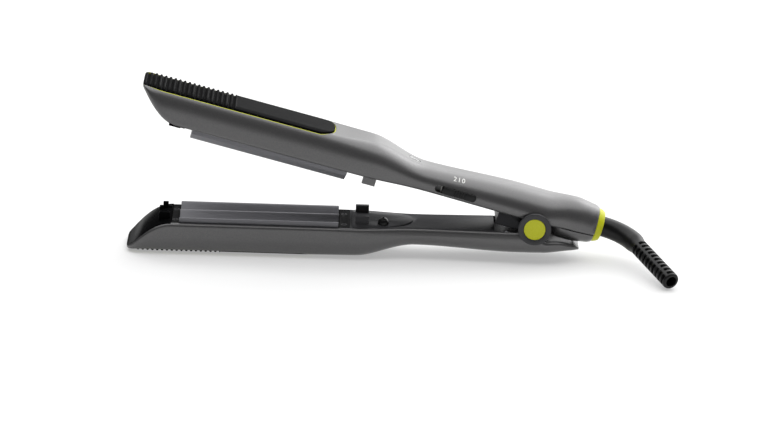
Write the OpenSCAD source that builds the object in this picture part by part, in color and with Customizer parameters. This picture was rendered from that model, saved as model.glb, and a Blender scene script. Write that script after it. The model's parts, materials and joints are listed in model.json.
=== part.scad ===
// Hair crimper: two hinged arms with meshing wave plates, a heat slider and a swivelling cord sleeve.
// The lower arm lies on its grip panel. X runs from the tips to the cord, Y across, Z up.

/* [Arms] */
// From the middle of the resting face to the hinge axis
hinge_x = 175; // [170:1:185]
// From the plates' rear blocks to the hinge axis
handle_len = 116; // [110:1:126]
// How much further the upper arm's tip reaches
upper_overhang = 4; // [0:0.5:6]
// Half the width of an arm along the plates
arm_half_w = 19.3; // [18.8:0.1:21]
// Half the width of an arm at its waist
waist_half_w = 15.5; // [15:0.1:17]
// Half the width of an arm at the hinge
hinge_half_w = 17.4; // [17.2:0.1:19]
// Depth of an arm along the plates, from rim to outer face
belly_depth = 21; // [20:0.5:24]
// Depth of an arm at its waist
waist_depth = 13.6; // [13.2:0.2:15.5]
// Depth of an arm at the hinge
hip_depth = 16.4; // [15.6:0.2:18]
// Side wall of the housings
wall = 2.2; // [1.8:0.1:2.4]
// Thickness of the outer face behind the grip panel
floor_t = 4.8; // [4.4:0.1:5.4]
// Gap between the rims of the closed arms
rim_gap = 7; // [6.6:0.1:8]
// Angle between the open arms
open_angle = 14.2; // [12:0.1:15]
// Rounding of the housings' rims
rim_round = 2; // [1.2:0.1:2.2]

/* [Nose] */
// Length over which the rim falls to the tip
nose_len = 28; // [25:1:29]
// How far the rim falls at the tip
nose_drop = 17; // [16:0.5:18]
// Length of the rounded front in plan
nose_plan = 21; // [18:1:26]
// Squareness of the front in plan, 2 being an ellipse
nose_square = 2.6; // [2:0.1:3]

/* [Plates] */
// Length of a wave plate
plate_len = 100; // [92:1:104]
// Half the width of a wave plate
plate_half_w = 15.9; // [15.6:0.1:16.1]
// Distance between two ridges
wave_pitch = 15.4; // [14.8:0.1:15.6]
// Height of a ridge over its valley
wave_height = 5.6; // [4.6:0.2:6]
// Gap between the closed plates
plate_gap = 1.2; // [1:0.1:2]
// How far the middle of the lower wave stands over its rim
plate_stand = 0.3; // [0:0.1:1]
// Metal under a valley
plate_web = 2; // [1.6:0.1:2.4]
// Front end block of a plate carrier
front_block = 5; // [4:0.5:5.5]
// Rear end block of a plate carrier
rear_block = 7; // [6:0.5:8]

/* [Heaters] */
// Length of a heater
heater_len = 70; // [50:1:80]
// Width of a heater
heater_w = 16; // [12:1:18]
// Thickness of a heater
heater_t = 3; // [2:0.2:3.4]
// Thickness of the insulating sheet
sheet_t = 0.5; // [0.3:0.1:0.8]
// Height of the leaf spring behind a heater
leaf_h = 3; // [2.4:0.1:3.4]

/* [Grip panels] */
// Half the width of a grip panel
panel_half_w = 15.2; // [14:0.1:15.6]
// From the lower arm's tip to the rear end of the panel
panel_len = 120; // [106:1:122]
// Depth of the panel's seat under the outer face
panel_seat = 3; // [2.6:0.1:3.2]
// Width of the lime line
trim_w = 0.8; // [0.6:0.1:1.2]
// Number of grip ribs
rib_count = 19; // [12:1:19]
// Distance between two ribs
rib_pitch = 3.05; // [2.8:0.05:3.1]
// Depth of the grooves between ribs
rib_depth = 1.4; // [0.8:0.1:1.6]

/* [Hinge] */
// Radius of the hinge pin
pin_r = 2.5; // [2:0.1:2.8]
// Radius of the bushes
bush_r = 3.5; // [3.3:0.1:3.8]
// Radius of the knuckle and of the bracket's eyes
eye_r = 5.2; // [5:0.1:5.4]
// Thickness of a bracket ear
ear_t = 1.6; // [1.2:0.1:1.8]
// Radius of the rings
ring_r = 10.4; // [9.5:0.1:11]
// Thickness of a ring
ring_t = 1.8; // [1.6:0.1:2.4]
// Radius of the lime caps
cap_r = 6.8; // [6:0.1:7.4]
// Radius of the spring wire
spring_wire_r = 0.55; // [0.45:0.05:0.6]
// Turns of the opening spring
spring_turns = 4; // [3:1:5]

/* [Slider] */
// Length of the slider knob
knob_len = 22; // [18:1:23]
// Height of the slider knob
knob_h = 4.6; // [4:0.2:5]
// Travel of the slider
slide_travel = 4.5; // [3:0.5:5]

/* [Cord end] */
// From the hinge axis to the rear end of the upper arm
rear_reach = 38; // [36:0.5:42]
// Radius of the cord barrel
barrel_r = 14; // [13.4:0.1:14.4]
// Radius of the barrel at its end
barrel_end_r = 12.2; // [11.8:0.1:12.6]
// Height of the cord's axis over the upper rim
cord_n = 4; // [3.5:0.1:4.5]
// Length of the lime collar
collar_len = 4.4; // [3.5:0.1:5.5]
// Radius of the sleeve's smooth part
sleeve_r = 6.4; // [6:0.1:6.6]
// Radius of the cord's bore
cord_r = 3.4; // [2.8:0.1:3.6]
// Radius of the sleeve's bend
bend_r = 24; // [22:1:30]
// Angle of the sleeve's bend
bend_angle = 63; // [50:1:70]
// Turn of the sleeve under the horizontal
sleeve_roll = 5; // [0:1:6]
// Ribs on the sleeve
sleeve_ribs = 10; // [8:1:10]
// Distance between two sleeve ribs
sleeve_pitch = 4.1; // [3.6:0.1:4.2]

/* [Hidden] */
$fn = 48;

// Colours
grey = [0.42, 0.42, 0.43];
dark = [0.16, 0.16, 0.17];
black = [0.06, 0.06, 0.06];
lime = [0.72, 0.78, 0.08];
metal = [0.62, 0.62, 0.63];
steel = [0.7, 0.7, 0.72];
cream = [0.86, 0.82, 0.72];
green = [0.1, 0.36, 0.2];

// Clearances
slip = 0.15;
cover_gap = 0.25;
play = 0.4;
parting = 0.05;
running = 0.05;

// Places along X, from the lower tip to the rear
cover_x0 = hinge_x - handle_len + slip;
plate_x1 = hinge_x - handle_len - rear_block;
plate_x0 = plate_x1 - plate_len;
tip_x = plate_x0 - front_block - nose_len;
belly_end = cover_x0 + 4;
waist_x = belly_end + 0.32 * handle_len;
hip_x = hinge_x - 10;
tail_x = hinge_x + 29;
rear_x = hinge_x + rear_reach;
barrel_x = rear_x - 15;
cover_x1 = hinge_x - 25;
hinge_z = belly_depth + rim_gap / 2;
axis_n = -rim_gap / 2;

// Share of the half width that is flat on the outer face, and height of the rounded corner
belly_flat = 0.6;
waist_flat = 0.42;
hip_flat = 0.46;
barrel_flat = 0.05;
belly_corner = 12;
waist_corner = 8.5;
hip_corner = 10;
// The tip, the tail and the barrel's end
tip_half_w = 9.5;
nose_curve = 0.9;
tip_lift = 1;
tip_lift_len = 9;
tail_half_w = 6;
tail_step = 5.6;
tail_drop = 6.4;
tail_rise = 2.4;
barrel_round = 1;

function clamp01(t) = min(1, max(0, t));
function mix(a, b, t) = a + (b - a) * t;
function smooth(a, b, x) = let (t = clamp01((x - a) / (b - a))) t * t * (3 - 2 * t);
function round_end(t) = sqrt(1 - pow(clamp01(t), 2));
function nose_round(t) = pow(1 - pow(clamp01(t), nose_square), 1 / nose_square);
function upper_tip(up) = tip_x - (up ? upper_overhang : 0);

// Values that blend from the plates to the waist, the hip and the barrel
function along(x, up, belly, waist, hip, barrel) =
  let (front = mix(belly, waist, smooth(belly_end, waist_x, x)),
       back = mix(front, hip, smooth(waist_x, hip_x, x)))
  up ? mix(back, barrel, smooth(hinge_x + 4, barrel_x, x)) : back;

function barrel_at(x) =
  mix(barrel_r, barrel_end_r, smooth(barrel_x, rear_x, x))
  - barrel_round * pow(clamp01((x - rear_x + 3) / 3), 2);

function arm_w(x, up) =
  let (nose = nose_round((upper_tip(up) + nose_plan - x) / nose_plan),
       tail = up ? 1 : round_end((x - hinge_x - 6) / (tail_x - hinge_x - 4)),
       body = along(x, up, arm_half_w, waist_half_w, hinge_half_w, barrel_at(x)))
  x < hinge_x ? mix(tip_half_w, body, nose) : max(tail_half_w, body * tail);

function arm_depth(x, up) =
  let (lift = tip_lift * pow(clamp01((upper_tip(up) + tip_lift_len - x) / tip_lift_len), 2))
  along(x, up, belly_depth - lift, waist_depth, hip_depth, cord_n + barrel_at(x))
  - (up ? 0 : tail_rise * smooth(hinge_x, tail_x, x));

function arm_rim(x, up) =
  nose_drop * (1 - pow(1 - pow(clamp01((upper_tip(up) + nose_len - x) / nose_len), 2), nose_curve))
  + (up ? 0 : tail_step * smooth(hinge_x - 5, hinge_x + 9, x)
            + tail_drop * pow(clamp01((x - hinge_x - 13) / (tail_x - hinge_x - 13)), 2));

function inner_w(x, up) = let (w = arm_w(x, up)) max(w - wall, 0.45 * w);
function inner_depth(x, up) =
  max(arm_rim(x, up), arm_depth(x, up) - mix(floor_t, wall, smooth(tip_x + panel_len + 4, waist_x, x)));

// The section grows rounder towards the barrel
function roundness(x, up) = up ? smooth(waist_x, barrel_x, x) : 0;
function flat_share(x, up) =
  mix(along(x, up, belly_flat, waist_flat, hip_flat, hip_flat), barrel_flat, roundness(x, up));
function corner_height(x, up) =
  mix(along(x, up, belly_corner, waist_corner, hip_corner, hip_corner), barrel_r, roundness(x, up));

// Depth of the inside of a housing at a distance y from its middle
function inner_depth_at(x, y, up) =
  let (w = inner_w(x, up), flat = 0.9 * w * flat_share(x, up),
       corner = corner_height(x, up))
  inner_depth(x, up) - corner * (1 - round_end((y - flat) / (w - flat)));

// Half width of the inside of a housing at a depth n, less a little slip
function inner_y_at(x, n, up) =
  let (w = inner_w(x, up), flat = 0.9 * w * flat_share(x, up),
       corner = corner_height(x, up))
  flat + (w - slip - flat) * round_end((n - inner_depth(x, up) + corner) / corner);

corner_steps = [0:18:90];

// Half sections of a housing, from the rim to the middle of the outer face, as [y, depth]
function outer_half(x, up) =
  let (w = arm_w(x, up), d = arm_depth(x, up), r = arm_rim(x, up), rr = min(rim_round, 0.35 * (d - r)),
       flat = w * flat_share(x, up),
       corner = min(corner_height(x, up), 0.95 * (d - r - rr)))
  concat([[w - rr, r], [w - 0.3 * rr, r + 0.3 * rr], [w, r + rr]],
         [for (t = corner_steps) [flat + (w - flat) * cos(t), d - corner + corner * sin(t)]]);

// The hollow reaches a little out of the rim
function inner_half(x, up) =
  let (w = inner_w(x, up), d = inner_depth(x, up), r = arm_rim(x, up),
       flat = 0.9 * w * flat_share(x, up),
       corner = min(corner_height(x, up), 0.9 * (d - r)))
  concat([[w, r - 1]], [for (t = corner_steps) [flat + (w - flat) * cos(t), d - corner + corner * sin(t)]]);

function both_sides(half, x) =
  concat([for (p = half) [x, -p[0], p[1]]], [for (i = [len(half) - 1:-1:0]) [x, half[i][0], half[i][1]]]);

// Stations along an arm, closer together where it curves
function front_stations(up) =
  concat([for (i = [0:7]) upper_tip(up) + nose_len * pow(i / 7, 1.7)],
         [for (i = [0:6]) mix(belly_end, waist_x, i / 6)]);
function handle_stations() = [for (i = [1:4]) mix(waist_x, hip_x, i / 4)];
function tail_stations() = concat([for (i = [0:4]) mix(hinge_x - 5, hinge_x + 9, i / 4)],
                                  [for (i = [1:5]) mix(hinge_x + 9, tail_x, 1 - pow(1 - i / 5, 1.4))]);
function rear_stations() = concat([for (i = [0:4]) mix(hinge_x - 2, barrel_x, i / 4)],
                                  [for (i = [1:5]) mix(barrel_x, rear_x, 1 - pow(1 - i / 5, 1.5))]);
function stations(up) = concat(front_stations(up), handle_stations(), up ? rear_stations() : tail_stations());

function strip(a, b, c, d) = [[a, b, c], [a, c, d]];

// Solid through half sections at stations along X
module loft(xs, halves) {
  m = 2 * len(halves[0]);
  n = len(xs);
  at = function (i, k) i * m + k % m;
  sides = [for (i = [0:n - 2], k = [0:m - 1])
    for (f = strip(at(i, k), at(i, k + 1), at(i + 1, k + 1), at(i + 1, k))) f];
  ends = [for (k = [1:m - 2])
    for (f = [[at(0, 0), at(0, k + 1), at(0, k)], [at(n - 1, 0), at(n - 1, k), at(n - 1, k + 1)]]) f];
  polyhedron([for (i = [0:n - 1]) for (p = both_sides(halves[i], xs[i])) p], concat(sides, ends));
}

// Solid front of an arm inside its outer face, as far as the grip panel reaches
module front_solid(up) {
  xs = [for (x = front_stations(up)) if (x <= belly_end) x];
  loft(xs, [for (x = xs) outer_half(x, up)]);
}

// Thin-walled half shell, open along its rim, with a solid tip
solid_tip = 4;
module shell(up) {
  xs = stations(up);
  hollow_x0 = upper_tip(up) + solid_tip;
  hollow_x1 = up ? rear_x + 1 : tail_x - solid_tip;
  inside = concat([hollow_x0], [for (x = xs) if (x > hollow_x0 + 1 && x < hollow_x1 - 1) x], [hollow_x1]);
  difference() {
    loft(xs, [for (x = xs) outer_half(x, up)]);
    loft(inside, [for (x = inside) inner_half(min(x, up ? rear_x : tail_x), up)]);
  }
}

// Puts an arm's own frame, x along and depth outward from the rim, in its place
module lower() translate([0, 0, belly_depth]) mirror([0, 0, 1]) children();
module upper() translate([hinge_x, 0, hinge_z]) rotate([0, open_angle, 0])
  translate([-hinge_x, 0, -axis_n]) children();

// Box between two corners
module block(a, b) translate(a) cube(b - a);
// Cylinder along the depth of an arm
module post(x, y, n0, n1, r) translate([x, y, n0]) cylinder(r = r, h = n1 - n0);
// Cylinder along Y
module across(x, n, y0, y1, r) translate([x, y0, n]) rotate([-90, 0, 0]) cylinder(r = r, h = y1 - y0);
// Cylinder along X
module lengthwise(x0, x1, n, r) translate([x0, 0, n]) rotate([0, 90, 0]) cylinder(r = r, h = x1 - x0);
module both_y() { children(); mirror([0, 1, 0]) children(); }

// Plan outline that follows the inside of a housing
module inside_plan(x0, x1, up, steps = 12) {
  xs = [for (i = [0:steps]) mix(x0, x1, i / steps)];
  half = [for (x = xs) [x, inner_w(x, up) - cover_gap]];
  polygon(concat([for (p = half) [p[0], -p[1]]], [for (i = [steps:-1:0]) half[i]]));
}

// Grip panel

panel_x1 = tip_x + panel_len;
panel_tip_w = tip_half_w - 2.2;
panel_round = 11;
rib_start = 1.95;

// Outline of the panel, drawn in by a margin and open at the tip
module panel_plan(up, margin) {
  x0 = upper_tip(up);
  w = panel_half_w - margin;
  front = [for (i = [0:6]) let (x = x0 + nose_plan * pow(i / 6, 2))
    [x, mix(panel_tip_w - margin, w, nose_round((x0 + nose_plan - x) / nose_plan))]];
  back = [for (t = [90:-15:0])
    [panel_x1 - panel_round + (panel_round - margin) * cos(t), w * pow(sin(t), 2 / nose_square)]];
  half = concat([[x0 - 1, panel_tip_w - margin]], front, back);
  polygon(concat(half, [for (i = [len(half) - 2:-1:0]) [half[i][0], -half[i][1]]]));
}

seat_n = belly_depth - panel_seat;
module panel_prism(up, margin) translate([0, 0, seat_n]) linear_extrude(panel_seat + 2) panel_plan(up, margin);

module grip_panel(up) color(black) difference() {
  intersection() { front_solid(up); panel_prism(up, trim_w + parting); }
  for (i = [0:rib_count - 1])
    block([upper_tip(up) + rib_start + i * rib_pitch, -arm_half_w, belly_depth - rib_depth],
          [upper_tip(up) + rib_start + (i + 0.45) * rib_pitch, arm_half_w, belly_depth + 1]);
}

module trim_line(up) color(lime) difference() {
  intersection() { front_solid(up); panel_prism(up, parting); }
  translate([0, 0, -1]) panel_prism(up, trim_w);
}

module panel_seat_cut(up) panel_prism(up, 0);

// Wave plates

// Height of the wave at y, from -1 in a valley to 1 on a ridge, with flat slopes and narrow crests
function wave(y) = asin(0.96 * cos(360 * y / wave_pitch)) / asin(0.96);
lower_wave_n = -plate_stand;
upper_wave_n = plate_stand - rim_gap + plate_gap;
function wave_n(up) = up ? upper_wave_n : lower_wave_n;
function back_n(up) = wave_n(up) + wave_height / 2 + plate_web;
skirt_h = 1.5;
skirt_t = 1.4;
function ledge_n(up) = back_n(up) + skirt_h;

module wave_plate(up) color(metal) {
  steps = 48;
  ys = [for (i = [0:steps]) plate_half_w * (2 * i / steps - 1)];
  face = [for (y = ys) [y, wave_n(up) + (up ? 1 : -1) * wave(y) * wave_height / 2]];
  in_w = plate_half_w - skirt_t;
  back = [[plate_half_w, ledge_n(up)], [in_w, ledge_n(up)], [in_w, back_n(up)],
          [-in_w, back_n(up)], [-in_w, ledge_n(up)], [-plate_half_w, ledge_n(up)]];
  translate([plate_x0, 0, 0]) rotate([90, 0, 90]) linear_extrude(plate_len) polygon(concat(face, back));
}

// Carriers

carrier_floor = 1.5;
carrier_half_w = arm_half_w - wall - slip;
carrier_top = 0.3;
screw_y = 9.5;
post_r = 2.2;
function stack_n(up) = back_n(up) + heater_t + sheet_t + leaf_h;
carrier_post_x = [plate_x0 - front_block / 2, plate_x1 + rear_block / 2];
function carrier_posts() = [for (x = carrier_post_x, y = [-screw_y, screw_y]) [x, y]];

// Section of a carrier, inside the rounded corners of its housing
module carrier_section(up) {
  steps = 6;
  half = [for (i = [0:steps]) let (n = mix(carrier_top, stack_n(up) + carrier_floor, i / steps))
    [min(carrier_half_w, inner_y_at(0, n, up) - slip), n]];
  polygon(concat(half, [for (i = [steps:-1:0]) [-half[i][0], half[i][1]]]));
}

module carrier(up) color(black) difference() {
  union() {
    translate([plate_x0 - front_block + slip, 0, 0]) rotate([90, 0, 90])
      linear_extrude(plate_len + front_block + rear_block - slip) carrier_section(up);
    for (p = carrier_posts())
      post(p[0], p[1], stack_n(up), inner_depth_at(p[0], screw_y + post_r, up) - slip, post_r);
  }
  block([plate_x0 - play, -plate_half_w - slip, -1], [plate_x1 + play, plate_half_w + slip, ledge_n(up)]);
  block([plate_x0 - play, -plate_half_w + skirt_t, -1], [plate_x1 + play, plate_half_w - skirt_t, stack_n(up)]);
  for (p = carrier_posts()) screw_cut(p, carrier_top);
}

// Countersunk screws that point away from the rim
screw_r = 1;
screw_head_r = 2;
screw_head_h = 1.2;
screw_len = 8;
module screw(p, n) {
  translate([p[0], p[1], n]) difference() {
    union() {
      cylinder(r1 = screw_head_r, r2 = screw_r, h = screw_head_h);
      cylinder(r = screw_r, h = screw_len);
    }
    for (a = [0, 90]) rotate([0, 0, a]) block([-1.3, -0.25, -1], [1.3, 0.25, 0.5]);
  }
}
module screw_cut(p, n) translate([p[0], p[1], n]) {
  translate([0, 0, -1]) cylinder(r = screw_head_r, h = 1);
  cylinder(r1 = screw_head_r, r2 = screw_r, h = screw_head_h);
  cylinder(r = screw_r, h = screw_len + 0.3);
}

// Heater stack

heater_x = (plate_x0 + plate_x1) / 2;
contact_w = 3;
contact_len = 6;
module heater(up) color(cream) {
  x1 = heater_x + heater_len / 2;
  n = back_n(up);
  block([heater_x - heater_len / 2, -heater_w / 2, n], [x1, heater_w / 2, n + heater_t]);
  for (y = [-heater_w / 4, heater_w / 4])
    block([x1, y - contact_w / 2, n + 1], [x1 + contact_len, y + contact_w / 2, n + 1.5]);
}

module insulation(up) color("wheat")
  block([heater_x - heater_len / 2 - 2, -heater_w / 2 - 1, back_n(up) + heater_t],
        [heater_x + heater_len / 2, heater_w / 2 + 1, back_n(up) + heater_t + sheet_t]);

// Wavy leaf between the sheet and the carrier's floor
module heater_spring(up) color(steel) {
  steps = 48;
  t = 0.6;
  len = heater_len - 6;
  line = [for (i = [0:steps]) [len * (i / steps - 0.5), (leaf_h - t) * (0.5 - 0.5 * cos(3 * 360 * i / steps))]];
  translate([heater_x, 5, back_n(up) + heater_t + sheet_t]) rotate([90, 0, 0]) linear_extrude(10)
    polygon(concat(line, [for (i = [steps:-1:0]) line[i] + [0, t]]));
}

sensor_r = 1.6;
sensor_y = heater_w / 2 + sensor_r + 1.5;
module heat_sensor(up, len) translate([0, sensor_y, 0])
  lengthwise(heater_x - len / 2, heater_x + len / 2, back_n(up) + sensor_r, sensor_r);

// Nose covers

cover_t = 2;
nose_cover_x0 = 4.8;
lug_x = plate_x0 - front_block - 8;
lug_len = 7;
lug_y0 = 8.6;
lug_y1 = 11.4;
front_lug_h = 4.8;
rear_lug_x = cover_x0 + 3.5;
rear_lug_len = 8.4;
rear_lug_h = 6;

// Lid that follows the falling rim, inside the hollow of the housing
module nose_lid(up) {
  x0 = upper_tip(up) + nose_cover_x0;
  x1 = plate_x0 - front_block;
  steps = 8;
  xs = [for (i = [0:steps]) mix(x0, x1, pow(i / steps, 1.3))];
  rim = [for (x = xs) [x, arm_rim(x, up)]];
  intersection() {
    translate([0, arm_half_w, 0]) rotate([90, 0, 0]) linear_extrude(2 * arm_half_w)
      polygon(concat(rim, [for (i = [steps:-1:0]) rim[i] + [0, cover_t]]));
    loft(xs, [for (x = xs) [for (p = inner_half(x, up)) [p[0] - cover_gap, p[1]]]]);
  }
}

// Wide guide lug on the near side, narrow one on a base on the far side
module lower_nose_cover() color(black) lower() {
  nose_lid(false);
  block([lug_x, -lug_y1, -front_lug_h], [lug_x + lug_len, -lug_y0, cover_t]);
  block([lug_x - 0.5, lug_y0, -1.7], [lug_x + lug_len + 0.5, lug_y1, cover_t]);
  block([lug_x + 1.8, lug_y0, -front_lug_h + 0.4], [lug_x + 5.2, lug_y1, cover_t]);
}

lip_h = 2.1;
module upper_nose_cover() color(black) upper() {
  nose_lid(true);
  both_y() block([lug_x - 4.5, lug_y1 + play, -lip_h], [lug_x + 3, lug_y1 + 3, 1]);
}

// Handle covers

island_h = 2.4;
island_r = 57;
island_len = 40;
island_tilt = 1.5;
island_half_w = arm_half_w - wall - 1.2;
module island() intersection() {
  translate([cover_x0, 0, island_r - island_h]) rotate([0, 90 - island_tilt, 0])
    cylinder(r = island_r, h = island_len + 4, $fn = 96);
  translate([0, 0, -island_h - 1]) linear_extrude(island_h + 1.5) polygon(concat(
    [for (t = [-90:10:90]) [cover_x0 + island_len * (0.35 + 0.65 * cos(t)), island_half_w * 0.92 * sin(t)]],
    [[cover_x0, island_half_w], [cover_x0, -island_half_w]]));
}

stop_x = cover_x0 + 21;
stop_y = -9;
stop_r = 3.4;
stop_h = 5.2;
stop_seat = 0.2;
module lower_handle_cover() color(grey) lower() difference() {
  union() {
    linear_extrude(cover_t) inside_plan(cover_x0, cover_x1, false);
    island();
    both_y() block([rear_lug_x, lug_y0, -rear_lug_h], [rear_lug_x + rear_lug_len, lug_y1, 1]);
  }
  post(stop_x, stop_y, -6, stop_seat, stop_r);
}

// Round buffer with a domed top and a dimple
module rubber_stop() color(black) lower() translate([stop_x, stop_y, stop_seat]) mirror([0, 0, 1])
  rotate_extrude() polygon(concat([[0, 0], [stop_r, 0]],
    [for (t = [0:15:75]) [stop_r * cos(t), stop_h - stop_r + stop_r * sin(t)]],
    [[0.8, stop_h - 0.2], [0, stop_h - 0.7]]));

tab_t = 2.2;
tab_h = 5.6;
cover_screw_x = [waist_x - 14, cover_x1 - 6];
cover_boss_r = 2.4;
board_n = 8.2;
board_t = 1.6;
board_half_w = 8.6;
board_x0 = waist_x - 11;
board_x1 = cover_x1 - 12;
board_posts = [for (x = [board_x0 + 6, board_x1 - 3], y = [-6.4, 6.4]) [x, y]];

module upper_handle_cover() color(grey) upper() difference() {
  union() {
    linear_extrude(cover_t) inside_plan(cover_x0, cover_x1, true);
    both_y() block([rear_lug_x, lug_y1 + play, -tab_h], [rear_lug_x + rear_lug_len, lug_y1 + play + tab_t, 1]);
    for (p = board_posts) post(p[0], p[1], 1, board_n, 1.6);
    for (x = cover_screw_x)
      post(x, 0, 1, min(screw_len + 2, inner_depth_at(x, cover_boss_r, true) - slip), cover_boss_r);
  }
  for (x = cover_screw_x) screw_cut([x, 0], 0);
  block([slot_x0 - 4, -arm_half_w, flange_n0 - play], [slot_x1 + 4, flange_y + flange_t + play, cover_t + 1]);
}

module upper_cover_screws() color(steel) upper() for (x = cover_screw_x) screw([x, 0], 0);

// Lower half of the cord barrel
module upper_rear_cover() color(grey) upper() intersection() {
  front = rear_x - 29;
  xs = [for (i = [0:12]) mix(front, rear_x, i / 12)];
  r = function (x) barrel_at(x) * round_end((front + 9 - x) / 11);
  inside = [for (i = [12:-1:0]) [max(1, r(xs[i]) - wall), xs[i] + (i == 0 ? wall : 0)]];
  translate([0, 0, cord_n]) rotate([0, 90, 0]) rotate_extrude()
    polygon(concat([for (x = xs) [r(x), x]], inside));
  block([front - 1, -barrel_r - 1, -barrel_r], [rear_x + 1, barrel_r + 1, -parting]);
}

// Hinge

ear_out = hinge_half_w - wall - 0.6;
knuckle_half_w = ear_out - ear_t - play;
spring_half_w = 5.2;
base_top = hinge_z - 7;
base_t = 2;
base_half_w = inner_y_at(cover_x1, belly_depth - base_top + base_t, false) - cover_gap;
bracket_screw_y = 6.5;
bracket_screws = [for (y = [-bracket_screw_y, bracket_screw_y]) [hinge_x - 17, y]];
boss_r = 2.8;
function rim_to_floor_z(x, y) = belly_depth - inner_depth_at(x, y, false);

module hinge_bracket() color(steel) difference() {
  union() {
    block([cover_x1 + slip, -base_half_w, base_top - base_t], [hinge_x + 5, base_half_w, base_top]);
    both_y() {
      block([hinge_x - eye_r, ear_out - ear_t, base_top - base_t], [hinge_x + eye_r, ear_out, hinge_z]);
      across(hinge_x, hinge_z, ear_out - ear_t, ear_out, eye_r);
    }
    for (p = bracket_screws)
      post(p[0], p[1], rim_to_floor_z(p[0], bracket_screw_y + boss_r) + slip, base_top, boss_r);
  }
  across(hinge_x, hinge_z, -ear_out - 1, ear_out + 1, pin_r);
  for (p = bracket_screws) translate([0, 0, base_top]) mirror([0, 0, 1]) screw_cut(p, 0);
}

module hinge_screws() color(steel)
  for (p = bracket_screws) translate([0, 0, base_top]) mirror([0, 0, 1]) screw(p, 0);

ring_y = hinge_half_w + 0.5;
cap_t = 0.9;
cap_dish = 0.4;
module hinge_pin() color(steel) across(hinge_x, hinge_z, -ring_y - 0.8, ring_y + 0.8, pin_r);

module hinge_rings() color(dark) both_y() difference() {
  across(hinge_x, hinge_z, ring_y, ring_y + ring_t, ring_r);
  across(hinge_x, hinge_z, ring_y - 1, ring_y + 0.8, pin_r);
  across(hinge_x, hinge_z, ring_y + ring_t - cap_t, ring_y + ring_t + 1, cap_r + slip);
}

// Slightly dished disc
module hinge_caps() color(lime) both_y() translate([hinge_x, ring_y + ring_t - cap_t, hinge_z])
  rotate([-90, 0, 0]) rotate_extrude() polygon(concat([[0, 0], [cap_r, 0]],
    [for (i = [4:-1:0]) [cap_r * i / 4, cap_t - cap_dish * (1 - pow(i / 4, 2))]]));

module hinge_bushes() color("goldenrod") upper() both_y() difference() {
  across(hinge_x, axis_n, spring_half_w, knuckle_half_w, bush_r);
  across(hinge_x, axis_n, 0, knuckle_half_w + 1, pin_r + running);
}

knuckle_front = cover_x1 + 1;
module hinge_knuckle() color(dark) upper() difference() {
  union() {
    block([knuckle_front, -knuckle_half_w, axis_n - eye_r], [hinge_x, knuckle_half_w, cover_t]);
    block([hinge_x - 1, -knuckle_half_w, 0], [rear_x - 27, knuckle_half_w, cover_t]);
    across(hinge_x, axis_n, -knuckle_half_w, knuckle_half_w, eye_r);
    block([hinge_x - 1, -knuckle_half_w, axis_n], [hinge_x + eye_r, knuckle_half_w, cover_t]);
    for (p = bracket_screws)
      post(p[0], p[1], cover_t - 1, inner_depth_at(p[0], bracket_screw_y + boss_r, true) - slip, boss_r);
  }
  block([hinge_x - 8, -spring_half_w, axis_n - eye_r - 1],
        [hinge_x + eye_r + 1, spring_half_w, axis_n + spring_r + spring_wire_r + play]);
  across(hinge_x, axis_n, -knuckle_half_w - 1, knuckle_half_w + 1, bush_r);
}

// Wire swept along a list of points
module wire(points, r, sides = 6) {
  n = len(points);
  unit = function (v) v / norm(v);
  dir = function (i) unit(points[min(n - 1, i + 1)] - points[max(0, i - 1)]);
  side = function (i) unit(cross(dir(i), [0, 1, 0.02]));
  ring = [for (i = [0:n - 1]) let (u = side(i), v = cross(dir(i), u))
    for (k = [0:sides - 1]) points[i] + r * (cos(360 * k / sides) * u + sin(360 * k / sides) * v)];
  walls = [for (i = [0:n - 2], k = [0:sides - 1]) let (a = i * sides + k, b = i * sides + (k + 1) % sides)
    for (f = strip(a, a + sides, b + sides, b)) f];
  last = (n - 1) * sides;
  ends = [for (k = [1:sides - 2]) for (f = [[0, k, k + 1], [last, last + k + 1, last + k]]) f];
  polyhedron(ring, concat(walls, ends));
}

// Torsion spring round the pin, one leg on the bracket and one under the knuckle
spring_r = pin_r + 0.5 + spring_wire_r;
spring_steps = 12;
module opening_spring() color(steel) {
  count = spring_turns * spring_steps;
  half = spring_half_w - spring_wire_r - 0.4;
  coil = [for (i = [0:count]) let (a = 360 * i / spring_steps)
    [hinge_x + spring_r * sin(a), mix(-half, half, i / count), hinge_z - spring_r * cos(a)]];
  leg = 6.5;
  wire(concat([coil[0] - [leg, 0, 0]], coil, [coil[count] + [leg - 3, 0, 0]]), spring_wire_r);
}

// Slider

slot_x1 = hinge_x - 0.35 * handle_len;
slot_x0 = slot_x1 - knob_len - slide_travel - play;
knob_n = 4.7;
slot_h = knob_h + 2 * slip;
knob_proud = 0.7;
flange_lip = 0.6;
flange_t = 0.8;
flange_n0 = knob_n - knob_h / 2 - flange_lip;
flange_n1 = knob_n + knob_h / 2 + flange_lip;
flange_y = -(inner_y_at(slot_x0, flange_n1, true) - play);
track_y = flange_y + flange_t + play;
track_t = 1;
stem_x = slot_x1 - knob_len / 2;

// Stadium on the side of the arm, extruded along Y
module side_slot(x0, x1, h, y0, y1) translate([0, y1, knob_n]) rotate([90, 0, 0]) linear_extrude(y1 - y0) {
  translate([x0 + h / 2, -h / 2]) square([x1 - x0 - h, h]);
  for (x = [x0 + h / 2, x1 - h / 2]) translate([x, 0]) circle(d = h);
}

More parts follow.
